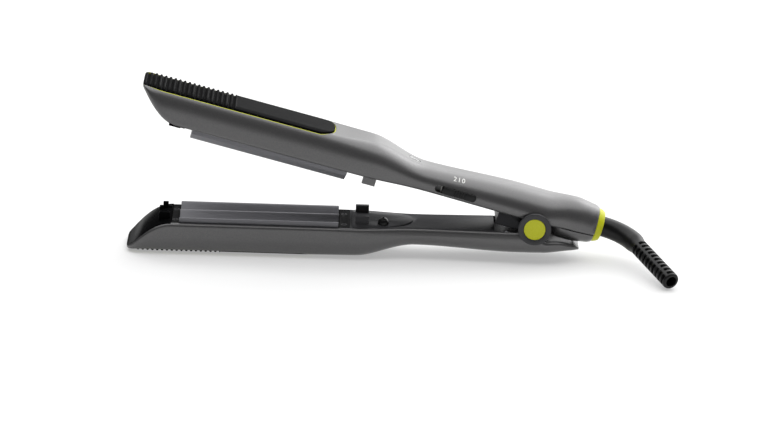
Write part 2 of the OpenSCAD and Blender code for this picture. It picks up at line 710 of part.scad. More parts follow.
// The knob's face follows the side of the arm
module slider_knob() color(dark) upper() difference() {
  x0 = slot_x1 - knob_len - slip;
  x1 = slot_x1 - slip;
  union() {
    intersection() {
      side_slot(x0, x1, knob_h, -arm_half_w - 1, flange_y + flange_t / 2);
      linear_extrude(knob_n + knob_h) polygon([[x0 - 1, -arm_w(x0, true) - knob_proud],
        [x0 - 1, 0], [x1 + 1, 0], [x1 + 1, -arm_w(x1, true) - knob_proud]]);
    }
    block([x0 - 0.8, flange_y, flange_n0], [x1 + 0.8, flange_y + flange_t, flange_n1]);
    block([stem_x - 1, flange_y, knob_n - 1], [stem_x + 1, flange_y + 5.4, knob_n + 1]);
  }
  for (i = [0:4]) let (x = stem_x - 3.6 + i * 1.6)
    block([x, -arm_half_w - 1, knob_n - knob_h], [x + 0.7, -arm_w(x, true) - 0.2, knob_n + knob_h]);
}

// Opening for the knob's stem over its whole travel
module stem_cut(y0, y1)
  block([stem_x - 1 - play - slide_travel, y0, knob_n - 1 - play], [stem_x + 1 + play, y1, knob_n + 1 + play]);

module slider_track() color(grey) upper() difference() {
  block([slot_x0 - 3, track_y, cover_t], [slot_x1 + 3, track_y + track_t, flange_n1]);
  stem_cut(track_y - 1, track_y + track_t + 1);
}

switch_y0 = flange_y + 3;
switch_len = 14;
module heat_switch() color("dimgray") upper() difference() {
  block([stem_x - 2 - switch_len / 2, switch_y0, 3], [stem_x - 2 + switch_len / 2, switch_y0 + 5, board_n]);
  stem_cut(switch_y0 - 1, switch_y0 + 2.9);
}

module control_board() color(green) upper()
  block([board_x0, -board_half_w, board_n], [board_x1, board_half_w, board_n + board_t]);

// Indicator

window_x = waist_x - 8.5;
window_len = 7.4;
window_w = 3;
led_h = 0.8;
window_tilt = atan((arm_depth(window_x - 1, true) - arm_depth(window_x + 1, true)) / 2);
// Pill across the shell, between two heights along its own tilted axis
module window_pill(extra, h0, h1) translate([window_x, 0, arm_depth(window_x, true)])
  rotate([0, window_tilt, 0]) translate([0, 0, h0]) linear_extrude(h1 - h0) {
    square([window_len - window_w, window_w + 2 * extra], center = true);
    for (s = [-1, 1]) translate([s * (window_len - window_w) / 2, 0]) circle(d = window_w + 2 * extra);
  }
window_t = 2.8;
module indicator_window() color([0.8, 0.8, 0.8]) upper() window_pill(-parting, 0.1 - window_t, 0.1);
module status_led() color("white") upper() post(window_x, 0, board_n + board_t, board_n + board_t + led_h, 1.5);

// Cord end

terminal_h = 7;
module cord_terminal() color("ivory") upper() difference() {
  block([hinge_x - 6, -8, cover_t], [rear_x - 28, 8, cover_t + terminal_h]);
  for (y = [-4, 4]) post(hinge_x - 1, y, cover_t + 2, cover_t + terminal_h + 1, 1.6);
}

collar_r0 = barrel_end_r - barrel_round - 0.5;
collar_r1 = collar_r0 - 1.3;
collar_bore = sleeve_r + 0.4;
spigot_r = barrel_end_r - barrel_round - wall - 0.5;
spigot_len = 4;
module about_cord_axis(x) translate([x, 0, cord_n]) rotate([0, 90, 0]) children();

module cord_collar() color(lime) upper() about_cord_axis(rear_x) rotate_extrude()
  polygon([[collar_bore, -spigot_len], [spigot_r, -spigot_len], [spigot_r, parting], [collar_r0, parting],
           [collar_r0, 0.8], [collar_r1, collar_len], [collar_bore, collar_len]]);

sleeve_straight = 1;
sleeve_cone = 4;
rib_r = 5.4;
core_r = 4.4;
web_w = 1.8;
// The straight parts reach into the bend's wall
seam = 0.4;
seam_len = 0.6;
module strain_relief() color(black) upper() translate([rear_x, 0, cord_n]) rotate([sleeve_roll, 0, 0]) {
  start = collar_len + sleeve_straight;
  end = [start + bend_r * sin(bend_angle), bend_r * cos(bend_angle) - bend_r, 0];
  run = sleeve_ribs * sleeve_pitch + 2;
  flange_r = spigot_r - play;
  rotate([0, 90, 0]) rotate_extrude() polygon([[cord_r, -8], [sleeve_r, -8], [sleeve_r, -7],
    [flange_r, -7], [flange_r, -spigot_len - play], [sleeve_r, -spigot_len - play],
    [sleeve_r, start - seam_len], [sleeve_r - seam, start + seam_len], [cord_r + seam, start + seam_len],
    [cord_r, start - seam_len]]);
  translate([start, -bend_r, 0]) rotate([0, 0, 90 - bend_angle]) rotate_extrude(angle = bend_angle)
    translate([bend_r, 0]) difference() {
      circle(r = sleeve_r);
      circle(r = cord_r);
    }
  translate(end) rotate([0, 0, -bend_angle]) rotate([0, 90, 0]) difference() {
    rotate_extrude() polygon([[cord_r, 0.1], [cord_r + seam, -seam_len], [sleeve_r - seam, -seam_len],
      [rib_r, sleeve_cone], [rib_r, sleeve_cone + run], [cord_r, sleeve_cone + run]]);
    for (i = [0:sleeve_ribs - 1]) translate([0, 0, sleeve_cone + (i + 0.5) * sleeve_pitch]) difference() {
      rotate_extrude() translate([core_r, 0]) square([2, 0.5 * sleeve_pitch]);
      for (a = [45, 135]) rotate([0, 0, a]) block([-9, -web_w / 2, -1], [9, web_w / 2, sleeve_pitch]);
    }
  }
}

// Named pieces

module lower_housing() color(grey) lower() difference() { shell(false); panel_seat_cut(false); }
module lower_carrier() lower() carrier(false);
module lower_wave_plate() lower() wave_plate(false);
module lower_heater() lower() heater(false);
module lower_insulation() lower() insulation(false);
module lower_heater_spring() lower() heater_spring(false);
module lower_thermal_fuse() color("silver") lower() heat_sensor(false, 9);
module lower_grip_panel() lower() grip_panel(false);
module lower_trim_line() lower() trim_line(false);
module lower_carrier_screws() color(steel) lower() for (p = carrier_posts()) screw(p, carrier_top);

module upper_housing() color(grey) upper() difference() {
  shell(true);
  panel_seat_cut(true);
  side_slot(slot_x0, slot_x1, slot_h, -arm_half_w, -6);
  window_pill(0, -6, 6);
}
module upper_carrier() upper() carrier(true);
module upper_wave_plate() upper() wave_plate(true);
module upper_heater() upper() heater(true);
module upper_insulation() upper() insulation(true);
module upper_heater_spring() upper() heater_spring(true);
module upper_thermistor() color("orange") upper() heat_sensor(true, 5);
module upper_grip_panel() upper() grip_panel(true);
module upper_trim_line() upper() trim_line(true);
module upper_carrier_screws() color(steel) upper() for (p = carrier_posts()) screw(p, carrier_top);

lower_housing();
lower_nose_cover();
lower_handle_cover();
lower_carrier();
lower_wave_plate();
lower_heater();
lower_insulation();
lower_heater_spring();
lower_thermal_fuse();
lower_grip_panel();
lower_trim_line();
rubber_stop();
lower_carrier_screws();
hinge_bracket();
hinge_screws();
hinge_pin();
hinge_rings();
hinge_caps();
opening_spring();
upper_housing();
upper_nose_cover();
upper_handle_cover();
upper_rear_cover();
upper_carrier();
upper_wave_plate();
upper_heater();
upper_insulation();
upper_heater_spring();
upper_thermistor();
upper_grip_panel();
upper_trim_line();
upper_carrier_screws();
upper_cover_screws();
hinge_knuckle();
hinge_bushes();
slider_track();
heat_switch();
control_board();
status_led();
indicator_window();
cord_terminal();
cord_collar();
slider_knob();
strain_relief();
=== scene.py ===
"""Looks of a hair crimper with wave plates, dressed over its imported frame.

Lengths are in millimetres until a mesh is finished, and in metres after that. An arm has a frame of its own:
x runs from the tip to the cord, y across, and n is the depth outward from the arm's rim.
"""

from __future__ import annotations

import json
import logging
import math
from collections.abc import Callable, Iterable, Sequence
from dataclasses import dataclass, field
from enum import Enum
from typing import Any

import bmesh
import bpy
from mathutils import Matrix, Vector

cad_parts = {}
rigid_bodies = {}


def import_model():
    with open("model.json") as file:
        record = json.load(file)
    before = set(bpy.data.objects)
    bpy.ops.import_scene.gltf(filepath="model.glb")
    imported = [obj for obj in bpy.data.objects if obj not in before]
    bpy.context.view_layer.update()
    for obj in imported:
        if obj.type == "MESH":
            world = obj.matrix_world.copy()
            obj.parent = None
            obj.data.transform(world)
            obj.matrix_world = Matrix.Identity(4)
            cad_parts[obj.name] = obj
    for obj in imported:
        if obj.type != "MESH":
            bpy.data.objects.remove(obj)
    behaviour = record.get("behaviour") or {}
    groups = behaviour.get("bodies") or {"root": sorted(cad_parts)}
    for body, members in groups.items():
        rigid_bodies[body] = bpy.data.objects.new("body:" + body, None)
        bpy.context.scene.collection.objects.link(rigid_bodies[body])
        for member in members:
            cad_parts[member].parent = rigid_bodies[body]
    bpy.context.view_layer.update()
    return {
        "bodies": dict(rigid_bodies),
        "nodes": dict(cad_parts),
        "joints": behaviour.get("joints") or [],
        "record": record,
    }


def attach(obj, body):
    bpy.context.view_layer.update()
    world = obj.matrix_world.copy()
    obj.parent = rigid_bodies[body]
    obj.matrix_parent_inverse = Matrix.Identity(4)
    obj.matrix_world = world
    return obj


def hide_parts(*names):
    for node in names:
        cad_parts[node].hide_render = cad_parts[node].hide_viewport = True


LOG = logging.getLogger("crimper")
MM = 0.001
SEAM_WELD = 0.0005
CAD_WELD = 0.004

Flat = tuple[float, float]
Color = tuple[float, float, float]
Place = Callable[[Vector], Vector]


def clamp01(t: float) -> float:
    """Limits t to 0..1."""
    return min(1.0, max(0.0, t))


def mix(a: float, b: float, t: float) -> float:
    """Value between a and b at the share t."""
    return a + (b - a) * t


def smooth(a: float, b: float, x: float) -> float:
    """Smooth step from 0 at a to 1 at b."""
    t = clamp01((x - a) / (b - a))
    return t * t * (3 - 2 * t)


def round_end(t: float) -> float:
    """Quarter circle from 1 at 0 to 0 at 1."""
    return math.sqrt(1 - clamp01(t) ** 2)


def spread(first: float, last: float, steps: int) -> list[float]:
    """Evenly spaced values over a number of steps, with both ends."""
    return [mix(first, last, i / steps) for i in range(steps + 1)]


def angles(first: float, last: float, steps: int) -> list[float]:
    """Evenly spaced angles in radians between two in degrees."""
    return [math.radians(a) for a in spread(first, last, steps)]


def linear(red: int, green: int, blue: int) -> Color:
    """Colour of a shader from the 0-255 values of a screen."""
    shares = (c / 255 for c in (red, green, blue))
    return tuple(((c + 0.055) / 1.055) ** 2.4 if c > 0.04045 else c / 12.92 for c in shares)


class Value:
    """A shader socket that can stand in an expression."""

    def __init__(self, graph: Graph, socket: bpy.types.NodeSocket) -> None:
        """Keeps the socket and the graph it belongs to."""
        self.graph = graph
        self.socket = socket

    def _math(self, operation: str, first: Value | float, second: Value | float) -> Value:
        """Adds the Math node of one operation."""
        return self.graph.node("ShaderNodeMath", {"operation": operation}, {0: first, 1: second})

    def __add__(self, other: Value | float) -> Value:
        """Sum of two values."""
        return self._math("ADD", self, other)

    def __radd__(self, other: float) -> Value:
        """Sum of a number and a value."""
        return self._math("ADD", other, self)

    def __mul__(self, other: Value | float) -> Value:
        """Product of two values."""
        return self._math("MULTIPLY", self, other)

    def __rmul__(self, other: float) -> Value:
        """Product of a number and a value."""
        return self._math("MULTIPLY", other, self)


class Graph:
    """Node tree of one material that ends in a Principled shader."""

    def __init__(self, name: str) -> None:
        """Starts a material with nothing but its shader."""
        self.material = bpy.data.materials.new(name)
        self.material.use_nodes = True
        self.tree = self.material.node_tree
        self.tree.nodes.clear()
        self.shader = self.tree.nodes.new("ShaderNodeBsdfPrincipled")
        output = self.tree.nodes.new("ShaderNodeOutputMaterial")
        self.tree.links.new(self.shader.outputs["BSDF"], output.inputs["Surface"])

    def node(
        self, kind: str, settings: dict[str, Any], inputs: dict[str | int, Any], output: str | int = 0
    ) -> Value:
        """Adds any node.

        Args:
            kind: the node's type.
            settings: its properties.
            inputs: numbers, colours or values for its sockets.
            output: the socket that is wanted.

        Returns:
            The wanted output.
        """
        node = self.tree.nodes.new(kind)
        for key, setting in settings.items():
            setattr(node, key, setting)
        for key, value in inputs.items():
            self.feed(node.inputs[key], value)
        return Value(self, node.outputs[output])

    def feed(self, socket: bpy.types.NodeSocket, value: Any) -> None:
        """Links a value to a socket, or sets the socket to a number or a colour.

        Args:
            socket: the input to feed.
            value: a value to link, or a number, vector or colour to set.
        """
        if isinstance(value, Value):
            self.tree.links.new(value.socket, socket)
        elif socket.type == "RGBA":
            socket.default_value = (*value, 1)
        else:
            socket.default_value = value

    def set(self, **sockets: Any) -> None:
        """Feeds the shader's sockets, named with _ for a space."""
        for name, value in sockets.items():
            self.feed(self.shader.inputs[name.replace("_", " ")], value)

    def noise(self, size: float, stretch: Color = (1.0, 1.0, 1.0), detail: float = 2.0) -> Value:
        """Noise on the piece's own coordinates.

        Args:
            size: width of a spot in millimetres.
            stretch: how much finer it is along each axis.
            detail: octaves of finer noise.

        Returns:
            The noise, from 0 to 1.
        """
        place = self.node("ShaderNodeTexCoord", {}, {}, "Object")
        mapped = self.node("ShaderNodeMapping", {}, {"Vector": place, "Scale": stretch})
        inputs = {"Vector": mapped, "Scale": 1 / (size * MM), "Detail": detail}
        return self.node("ShaderNodeTexNoise", {}, inputs, "Fac")

    def spots(self, noise: Value, low: float, high: float) -> Value:
        """Share of a noise between two of its levels, from 0 to 1."""
        return self.node("ShaderNodeMapRange", {}, {"Value": noise, "From Min": low, "From Max": high})

    def blend(self, share: Value, first: Color | Value, second: Color | Value) -> Value:
        """Colour between two others."""
        return self.node("ShaderNodeMix", {"data_type": "RGBA"}, {0: share, 6: first, 7: second}, 2)

    def bump(self, height: Value, depth: float) -> Value:
        """Normal of a relief of some depth in millimetres."""
        return self.node("ShaderNodeBump", {}, {"Height": height, "Distance": depth * MM, "Strength": 1.0})


@dataclass(frozen=True)
class Finish:
    """Surface of a material slot: a colour with flecks, a fine grain and a gloss that varies.

    Attributes:
        slot: the record's material slot.
        color: main colour.
        fleck: colour of the flecks.
        roughness: mean roughness, with roughness_spread to both sides.
        metallic: 1 on bare metal.
        coat: weight of a clear coat, which has coat_roughness.
        specular: level of the mirror part, 0.5 on plain plastic and less on a soft coating.
        fleck_size, grain, smudge: sizes in millimetres.
        fleck_levels: levels of the noise where the flecks start and are full.
        grain_depth: relief of the grain in millimetres.
        stretch: how much finer flecks and grain are along each axis.
    """

    slot: str
    color: Color
    fleck: Color
    roughness: float
    roughness_spread: float = 0.06
    metallic: float = 0.0
    coat: float = 0.0
    coat_roughness: float = 0.15
    specular: float = 0.5
    fleck_size: float = 0.6
    fleck_levels: Flat = (0.35, 0.7)
    grain: float = 0.35
    grain_depth: float = 0.006
    smudge: float = 15.0
    stretch: Color = (1.0, 1.0, 1.0)

    def paint(self, graph: Graph) -> Value:
        """Base colour with its flecks."""
        share = graph.spots(graph.noise(self.fleck_size, self.stretch), *self.fleck_levels)
        return graph.blend(share, self.color, self.fleck)

    def extras(self, graph: Graph) -> None:
        """Sets what only some finishes have."""

    def material(self) -> bpy.types.Material:
        """Builds the material.

        Returns:
            A material named after the slot.
        """
        graph = Graph(self.slot)
        gloss = graph.noise(self.smudge, detail=3.0) * (2 * self.roughness_spread)
        relief = graph.noise(self.grain, self.stretch)
        graph.set(
            Base_Color=self.paint(graph),
            Roughness=gloss + (self.roughness - self.roughness_spread),
            Metallic=self.metallic,
            Coat_Weight=self.coat,
            Coat_Roughness=self.coat_roughness,
            Specular_IOR_Level=self.specular,
            Normal=graph.bump(relief, self.grain_depth),
        )
        self.extras(graph)
        return graph.material


@dataclass(frozen=True)
class CircuitBoard(Finish):
    """Solder mask with darker traces in rows."""

    trace: float = 1.6
    trace_share: float = 0.12

    def paint(self, graph: Graph) -> Value:
        """Base colour with rows of traces.

        Args:
            graph: node tree of the material.

        Returns:
            The colour.
        """
        inputs = {
            "Vector": graph.node("ShaderNodeTexCoord", {}, {}, "Object"),
            "Color1": self.color,
            "Color2": self.color,
            "Mortar": self.fleck,
            "Scale": 1 / (self.trace * MM),
            "Mortar Size": self.trace_share,
        }
        return graph.node("ShaderNodeTexBrick", {"offset": 0.5}, inputs, "Color")


@dataclass(frozen=True)
class ClearPlastic(Finish):
    """Clear plastic that lets some light through."""

    transmission: float = 0.35

    def extras(self, graph: Graph) -> None:
        """Sets the share of light that goes through."""
        graph.set(Transmission_Weight=self.transmission)


FINISHES = (
    Finish("shell_grey", linear(80, 80, 81), linear(91, 90, 90), 0.4, 0.03, 0.62,
           coat=0.7, coat_roughness=0.32, fleck_size=0.5, grain=0.5),
    Finish("cover_grey", linear(64, 64, 66), linear(70, 70, 72), 0.32, 0.05,
           specular=0.03, grain_depth=0.004),
    Finish("grip_black", linear(14, 14, 15), linear(18, 18, 19), 0.5, 0.05, specular=0.03),
    Finish("black_plastic", linear(10, 10, 11), linear(13, 13, 14), 0.2, 0.04,
           specular=0.003, grain_depth=0.002),
    Finish("dark_plastic", linear(48, 48, 50), linear(54, 54, 56), 0.44,
           specular=0.35, grain_depth=0.008),
    Finish("pale_plastic", linear(150, 150, 151), linear(158, 158, 159), 0.42, 0.05),
    Finish("lime_plastic", linear(194, 197, 22), linear(200, 203, 34), 0.34, 0.05,
           specular=0.3, grain_depth=0.003),
    Finish("plate_aluminium", linear(106, 106, 110), linear(114, 114, 118), 0.44, 0.04, 0.4,
           grain=0.4, grain_depth=0.003, stretch=(0.05, 1.0, 1.0)),
    Finish("dark_steel", linear(34, 34, 36), linear(40, 40, 42), 0.42, 0.06, 0.6, specular=0.2),
    Finish("steel", linear(190, 190, 194), linear(205, 205, 208), 0.26, 0.05, 1.0, stretch=(0.2, 1.0, 1.0)),
    Finish("heater_ceramic", linear(228, 222, 206), linear(215, 207, 188), 0.6, 0.08),
    Finish("insulation_sheet", linear(176, 146, 92), linear(150, 120, 70), 0.45, 0.1, fleck_size=1.5),
    Finish("sensor_casing", linear(190, 176, 150), linear(176, 160, 130), 0.4, 0.08, 0.4),
    Finish("black_rubber", linear(11, 11, 12), linear(16, 16, 17), 0.36,
           specular=0.25, grain=0.25, grain_depth=0.01),
    Finish("bronze", linear(190, 146, 84), linear(170, 126, 70), 0.34, 0.08, 1.0),
    CircuitBoard("circuit_board", linear(24, 96, 52), linear(16, 70, 38), 0.35, 0.05, coat=0.4),
    Finish("white_plastic", linear(232, 232, 228), linear(224, 224, 220), 0.4, 0.05),
    ClearPlastic("clear_plastic", linear(190, 190, 190), linear(200, 200, 200), 0.2, 0.04),
)


class Arm(Enum):
    """The two arms, by the first word of their nodes' names."""

    LOWER = "lower"
    UPPER = "upper"


class Body(Enum):
    """Body that a piece rides on when it takes the place of no node."""

    UPPER = "upper_arm"


class Sculpt:
    """A bmesh on its way to a finished piece, in millimetres."""

    def __init__(self, data: bpy.types.Mesh | None = None) -> None:
        """Starts with an empty mesh, or with a finished one in metres.

        Args:
            data: the finished mesh.
        """
        self.mesh = bmesh.new()
        if data:
            self.mesh.from_mesh(data)
            bmesh.ops.scale(self.mesh, vec=(1 / MM,) * 3, verts=self.mesh.verts)

    @classmethod
    def lofted(cls, rings: Sequence[Sequence[Vector]]) -> Sculpt:
        """Starts from a closed skin over rings.

        Args:
            rings: sections of equally many points.

        Returns:
            The new mesh.
        """
        sculpt = cls()
        sculpt.loft(rings)
        return sculpt

    @classmethod
    def turned(cls, profile: Sequence[Flat], steps: int = 96) -> Sculpt:
        """Starts from a closed profile of (radius, height) turned about the third axis.

        Args:
            profile: corners in order.
            steps: faces in a full turn.

        Returns:
            The new mesh.
        """
        sculpt = cls()
        verts = sculpt.ring([Vector((r, 0, h)) for r, h in profile])
        bmesh.ops.spin(
            sculpt.mesh,
            geom=verts + sculpt.edges_of(verts),
            axis=(0, 0, 1),
            cent=(0, 0, 0),
            dvec=(0, 0, 0),
            angle=math.tau,
            steps=steps,
            use_merge=True,
        )
        return sculpt

    def ring(self, points: Iterable[Vector]) -> list[bmesh.types.BMVert]:
        """Adds points joined to a ring.

        Args:
            points: the corners.

        Returns:
            The new vertices in order.
        """
        verts = [self.mesh.verts.new(p) for p in points]
        for a, b in zip(verts, [*verts[1:], verts[0]]):
            self.mesh.edges.new((a, b))
        return verts

    def edges_of(self, loop: Sequence[bmesh.types.BMVert]) -> list[bmesh.types.BMEdge]:
        """Edges of a closed ring."""
        return [self.mesh.edges.get((a, b)) for a, b in zip(loop, [*loop[1:], loop[0]])]

    def _next_ring(
        self, loop: Sequence[bmesh.types.BMVert], points: Sequence[Vector]
    ) -> list[bmesh.types.BMVert]:
        """Extrudes a ring and moves the copy.

        Args:
            loop: the ring's vertices.
            points: places for the copy's.

        Returns:
            The copy's vertices in the same order.
        """
        made = bmesh.ops.extrude_edge_only(self.mesh, edges=self.edges_of(loop))["geom"]
        fresh = {v for v in made if isinstance(v, bmesh.types.BMVert)}
        result = [next(e.other_vert(v) for e in v.link_edges if e.other_vert(v) in fresh) for v in loop]
        for vert, point in zip(result, points):
            vert.co = point
        return result

    def loft(self, rings: Sequence[Sequence[Vector]]) -> list[bmesh.types.BMFace]:
        """Skins rings of equally many points and closes both ends.

        Args:
            rings: the sections in order.

        Returns:
            The two ends.
        """
        first = self.ring(rings[0])
        last = first
        for points in rings[1:]:
            last = self._next_ring(last, points)
        ends = []
        for loop in (first, last):
            ends += bmesh.ops.edgeloop_fill(self.mesh, edges=self.edges_of(loop))["faces"]
        return ends

    def block(self, low: Sequence[float], high: Sequence[float], round_by: float) -> None:
        """Adds a box between two corners with rounded edges.

        Args:
            low: lowest corner.
            high: highest corner.
            round_by: width of the rounding.
        """
        size = Vector(high) - Vector(low)
        matrix = Matrix.Translation((Vector(low) + Vector(high)) / 2) @ Matrix.Diagonal((*size, 1))
        made = bmesh.ops.create_cube(self.mesh, size=1, matrix=matrix)["verts"]
        self.bevel(dict.fromkeys(e for v in made for e in v.link_edges), round_by)

    def bevel(
        self, edges: Iterable[bmesh.types.BMEdge], width: float, segments: int = 3, clamp: bool = True
    ) -> None:
        """Rounds edges over a width.

        Args:
            edges: the edges to round.
            width: width of the rounding.
            segments: faces across it.
            clamp: whether it stops where two would meet.
        """
        bmesh.ops.bevel(
            self.mesh,
            geom=list(edges),
            offset=width,
            offset_type="OFFSET",
            affect="EDGES",
            segments=segments,
            profile=0.5,
            material=-1,
            clamp_overlap=clamp,
        )

    def moved(self, place: Place) -> Sculpt:
        """Puts every point in its place.

        Args:
            place: gives a point its new place.

        Returns:
            The same mesh.
        """
        for vert in self.mesh.verts:
            vert.co = place(vert.co)
        return self

    def _sort_faces(self) -> None:
        """Orders the faces by their vertices, since extruding leaves them in no fixed order."""
        self.mesh.verts.index_update()
        ordered = sorted(self.mesh.faces, key=lambda face: sorted(v.index for v in face.verts))
        for index, face in enumerate(ordered):
            face.index = index
        self.mesh.faces.sort()

    def to_object(self, name: str) -> bpy.types.Object:
        """Closes the mesh and makes an object of it, in metres.

        Args:
            name: the object's name.

        Returns:
            The object, linked to the scene and unshaded.
        """
        bmesh.ops.remove_doubles(self.mesh, verts=self.mesh.verts, dist=SEAM_WELD)
        loose = [e for e in self.mesh.edges if e.is_wire]
        bmesh.ops.delete(self.mesh, geom=loose, context="EDGES")
        bmesh.ops.recalc_face_normals(self.mesh, faces=self.mesh.faces)
        if self.mesh.calc_volume(signed=True) < 0:
            bmesh.ops.reverse_faces(self.mesh, faces=self.mesh.faces)
        bmesh.ops.scale(self.mesh, vec=(MM, MM, MM), verts=self.mesh.verts)
        self._sort_faces()
        data = bpy.data.meshes.new(name)
        self.mesh.to_mesh(data)
        self.mesh.free()
        obj = bpy.data.objects.new(name, data)
        bpy.context.scene.collection.objects.link(obj)
        return obj


@dataclass
class Bench:
    """The frame, the finishes and the steps that all pieces share."""

    frame: dict[str, Any]
    blackened: tuple[str, ...] = (
        "lower_carrier_screws",
        "upper_carrier_screws",
        "hinge_bracket",
        "hinge_knuckle",
    )
    flat_angle: float = 0.6
    sharp_angle: float = 40.0
    materials: dict[str, bpy.types.Material] = field(default_factory=dict)
    slots: dict[str, str] = field(default_factory=dict)
    bodies: dict[str, str] = field(default_factory=dict)

    def __post_init__(self) -> None:
        """Makes the finishes and reads which slot and body each node has."""
        self.materials = {finish.slot: finish.material() for finish in FINISHES}
        record = self.frame["record"]
        self.slots = {part["node"]: part["material_slot"] for part in record["subparts"]}
        bodies = record["behaviour"]["bodies"]
        self.bodies = {node: body for body, nodes in bodies.items() for node in nodes}

    def finish_of(self, node: str, slot: str = "") -> str:
        """Finish of a node: blackened steel, that of another slot, or that of its own slot."""
        return "dark_steel" if node in self.blackened else slot or self.slots[node]

    def shade(self, obj: bpy.types.Object, finish: str, angle: float = 35.0) -> None:
        """Smooths an object up to an angle and gives it a finish.

        Args:
            obj: the object.
            finish: name of the finish.
            angle: edges up to this angle in degrees are smooth.
        """
        obj.data.materials.clear()
        obj.data.materials.append(self.materials[finish])
        obj.data.shade_smooth()
        obj.data.set_sharp_from_angle(angle=math.radians(angle))

    def piece(self, sculpt: Sculpt, node: str, angle: float = 35.0, slot: str = "") -> bpy.types.Object:
        """Finishes a mesh that takes the place of a node.

        Args:
            sculpt: the mesh.
            node: the node, which also gives the body.
            angle: edges up to this angle in degrees are smooth.
            slot: a slot other than the node's own.

        Returns:
            The finished object.
        """
        obj = sculpt.to_object(f"{node}_finished")
        self.shade(obj, self.finish_of(node, slot), angle)
        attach(obj, self.bodies[node])
        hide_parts(node)
        slot or self.slots[node]
        LOG.info("%s: %d faces", obj.name, len(obj.data.polygons))
        return obj

    def soften(self, node: str, width: float, slot: str = "") -> bpy.types.Object:
        """Copies a node's solid with its sharp edges rounded.

        Args:
            node: the node that the copy takes the place of.
            width: width of the rounding in millimetres.
            slot: a slot other than the node's own.

        Returns:
            The copy.
        """
        sculpt = Sculpt(self.frame["nodes"][node].data)
        mesh, flat, least = sculpt.mesh, math.radians(self.flat_angle), math.radians(self.sharp_angle)
        bmesh.ops.remove_doubles(mesh, verts=mesh.verts, dist=CAD_WELD)
        bmesh.ops.dissolve_limit(mesh, angle_limit=flat, verts=mesh.verts, edges=mesh.edges)
        sharp = [e for e in mesh.edges if len(e.link_faces) == 2 and e.calc_face_angle() > least]
        sculpt.bevel(sharp, width, 2)
        return self.piece(sculpt, node, slot=slot)

    def carve(self, solid: Sculpt, cuts: Sequence[Sculpt]) -> Sculpt:
        """Cuts closed meshes out of another one.

        Args:
            solid: the mesh to cut.
            cuts: the meshes to take away.

        Returns:
            What is left.
        """
        obj = solid.to_object("solid")
        tools = [cut.to_object("cut") for cut in cuts]
        for tool in tools:
            modifier = obj.modifiers.new(tool.name, "BOOLEAN")
            modifier.operation, modifier.solver, modifier.object = "DIFFERENCE", "EXACT", tool
        graph = bpy.context.evaluated_depsgraph_get()
        carved = Sculpt(bpy.data.meshes.new_from_object(obj.evaluated_get(graph)))
        for used in (obj, *tools):
            bpy.data.objects.remove(used)
        many_sided = [f for f in carved.mesh.faces if len(f.verts) > 4]
        bmesh.ops.triangulate(carved.mesh, faces=many_sided)
        return carved

    def dress(self, node: str) -> None:
        """Gives a node of the frame its finish.

        Args:
            node: name of the node.
        """
        data = self.frame["nodes"][node].data
        data.materials.clear()
        data.materials.append(self.materials[self.finish_of(node)])


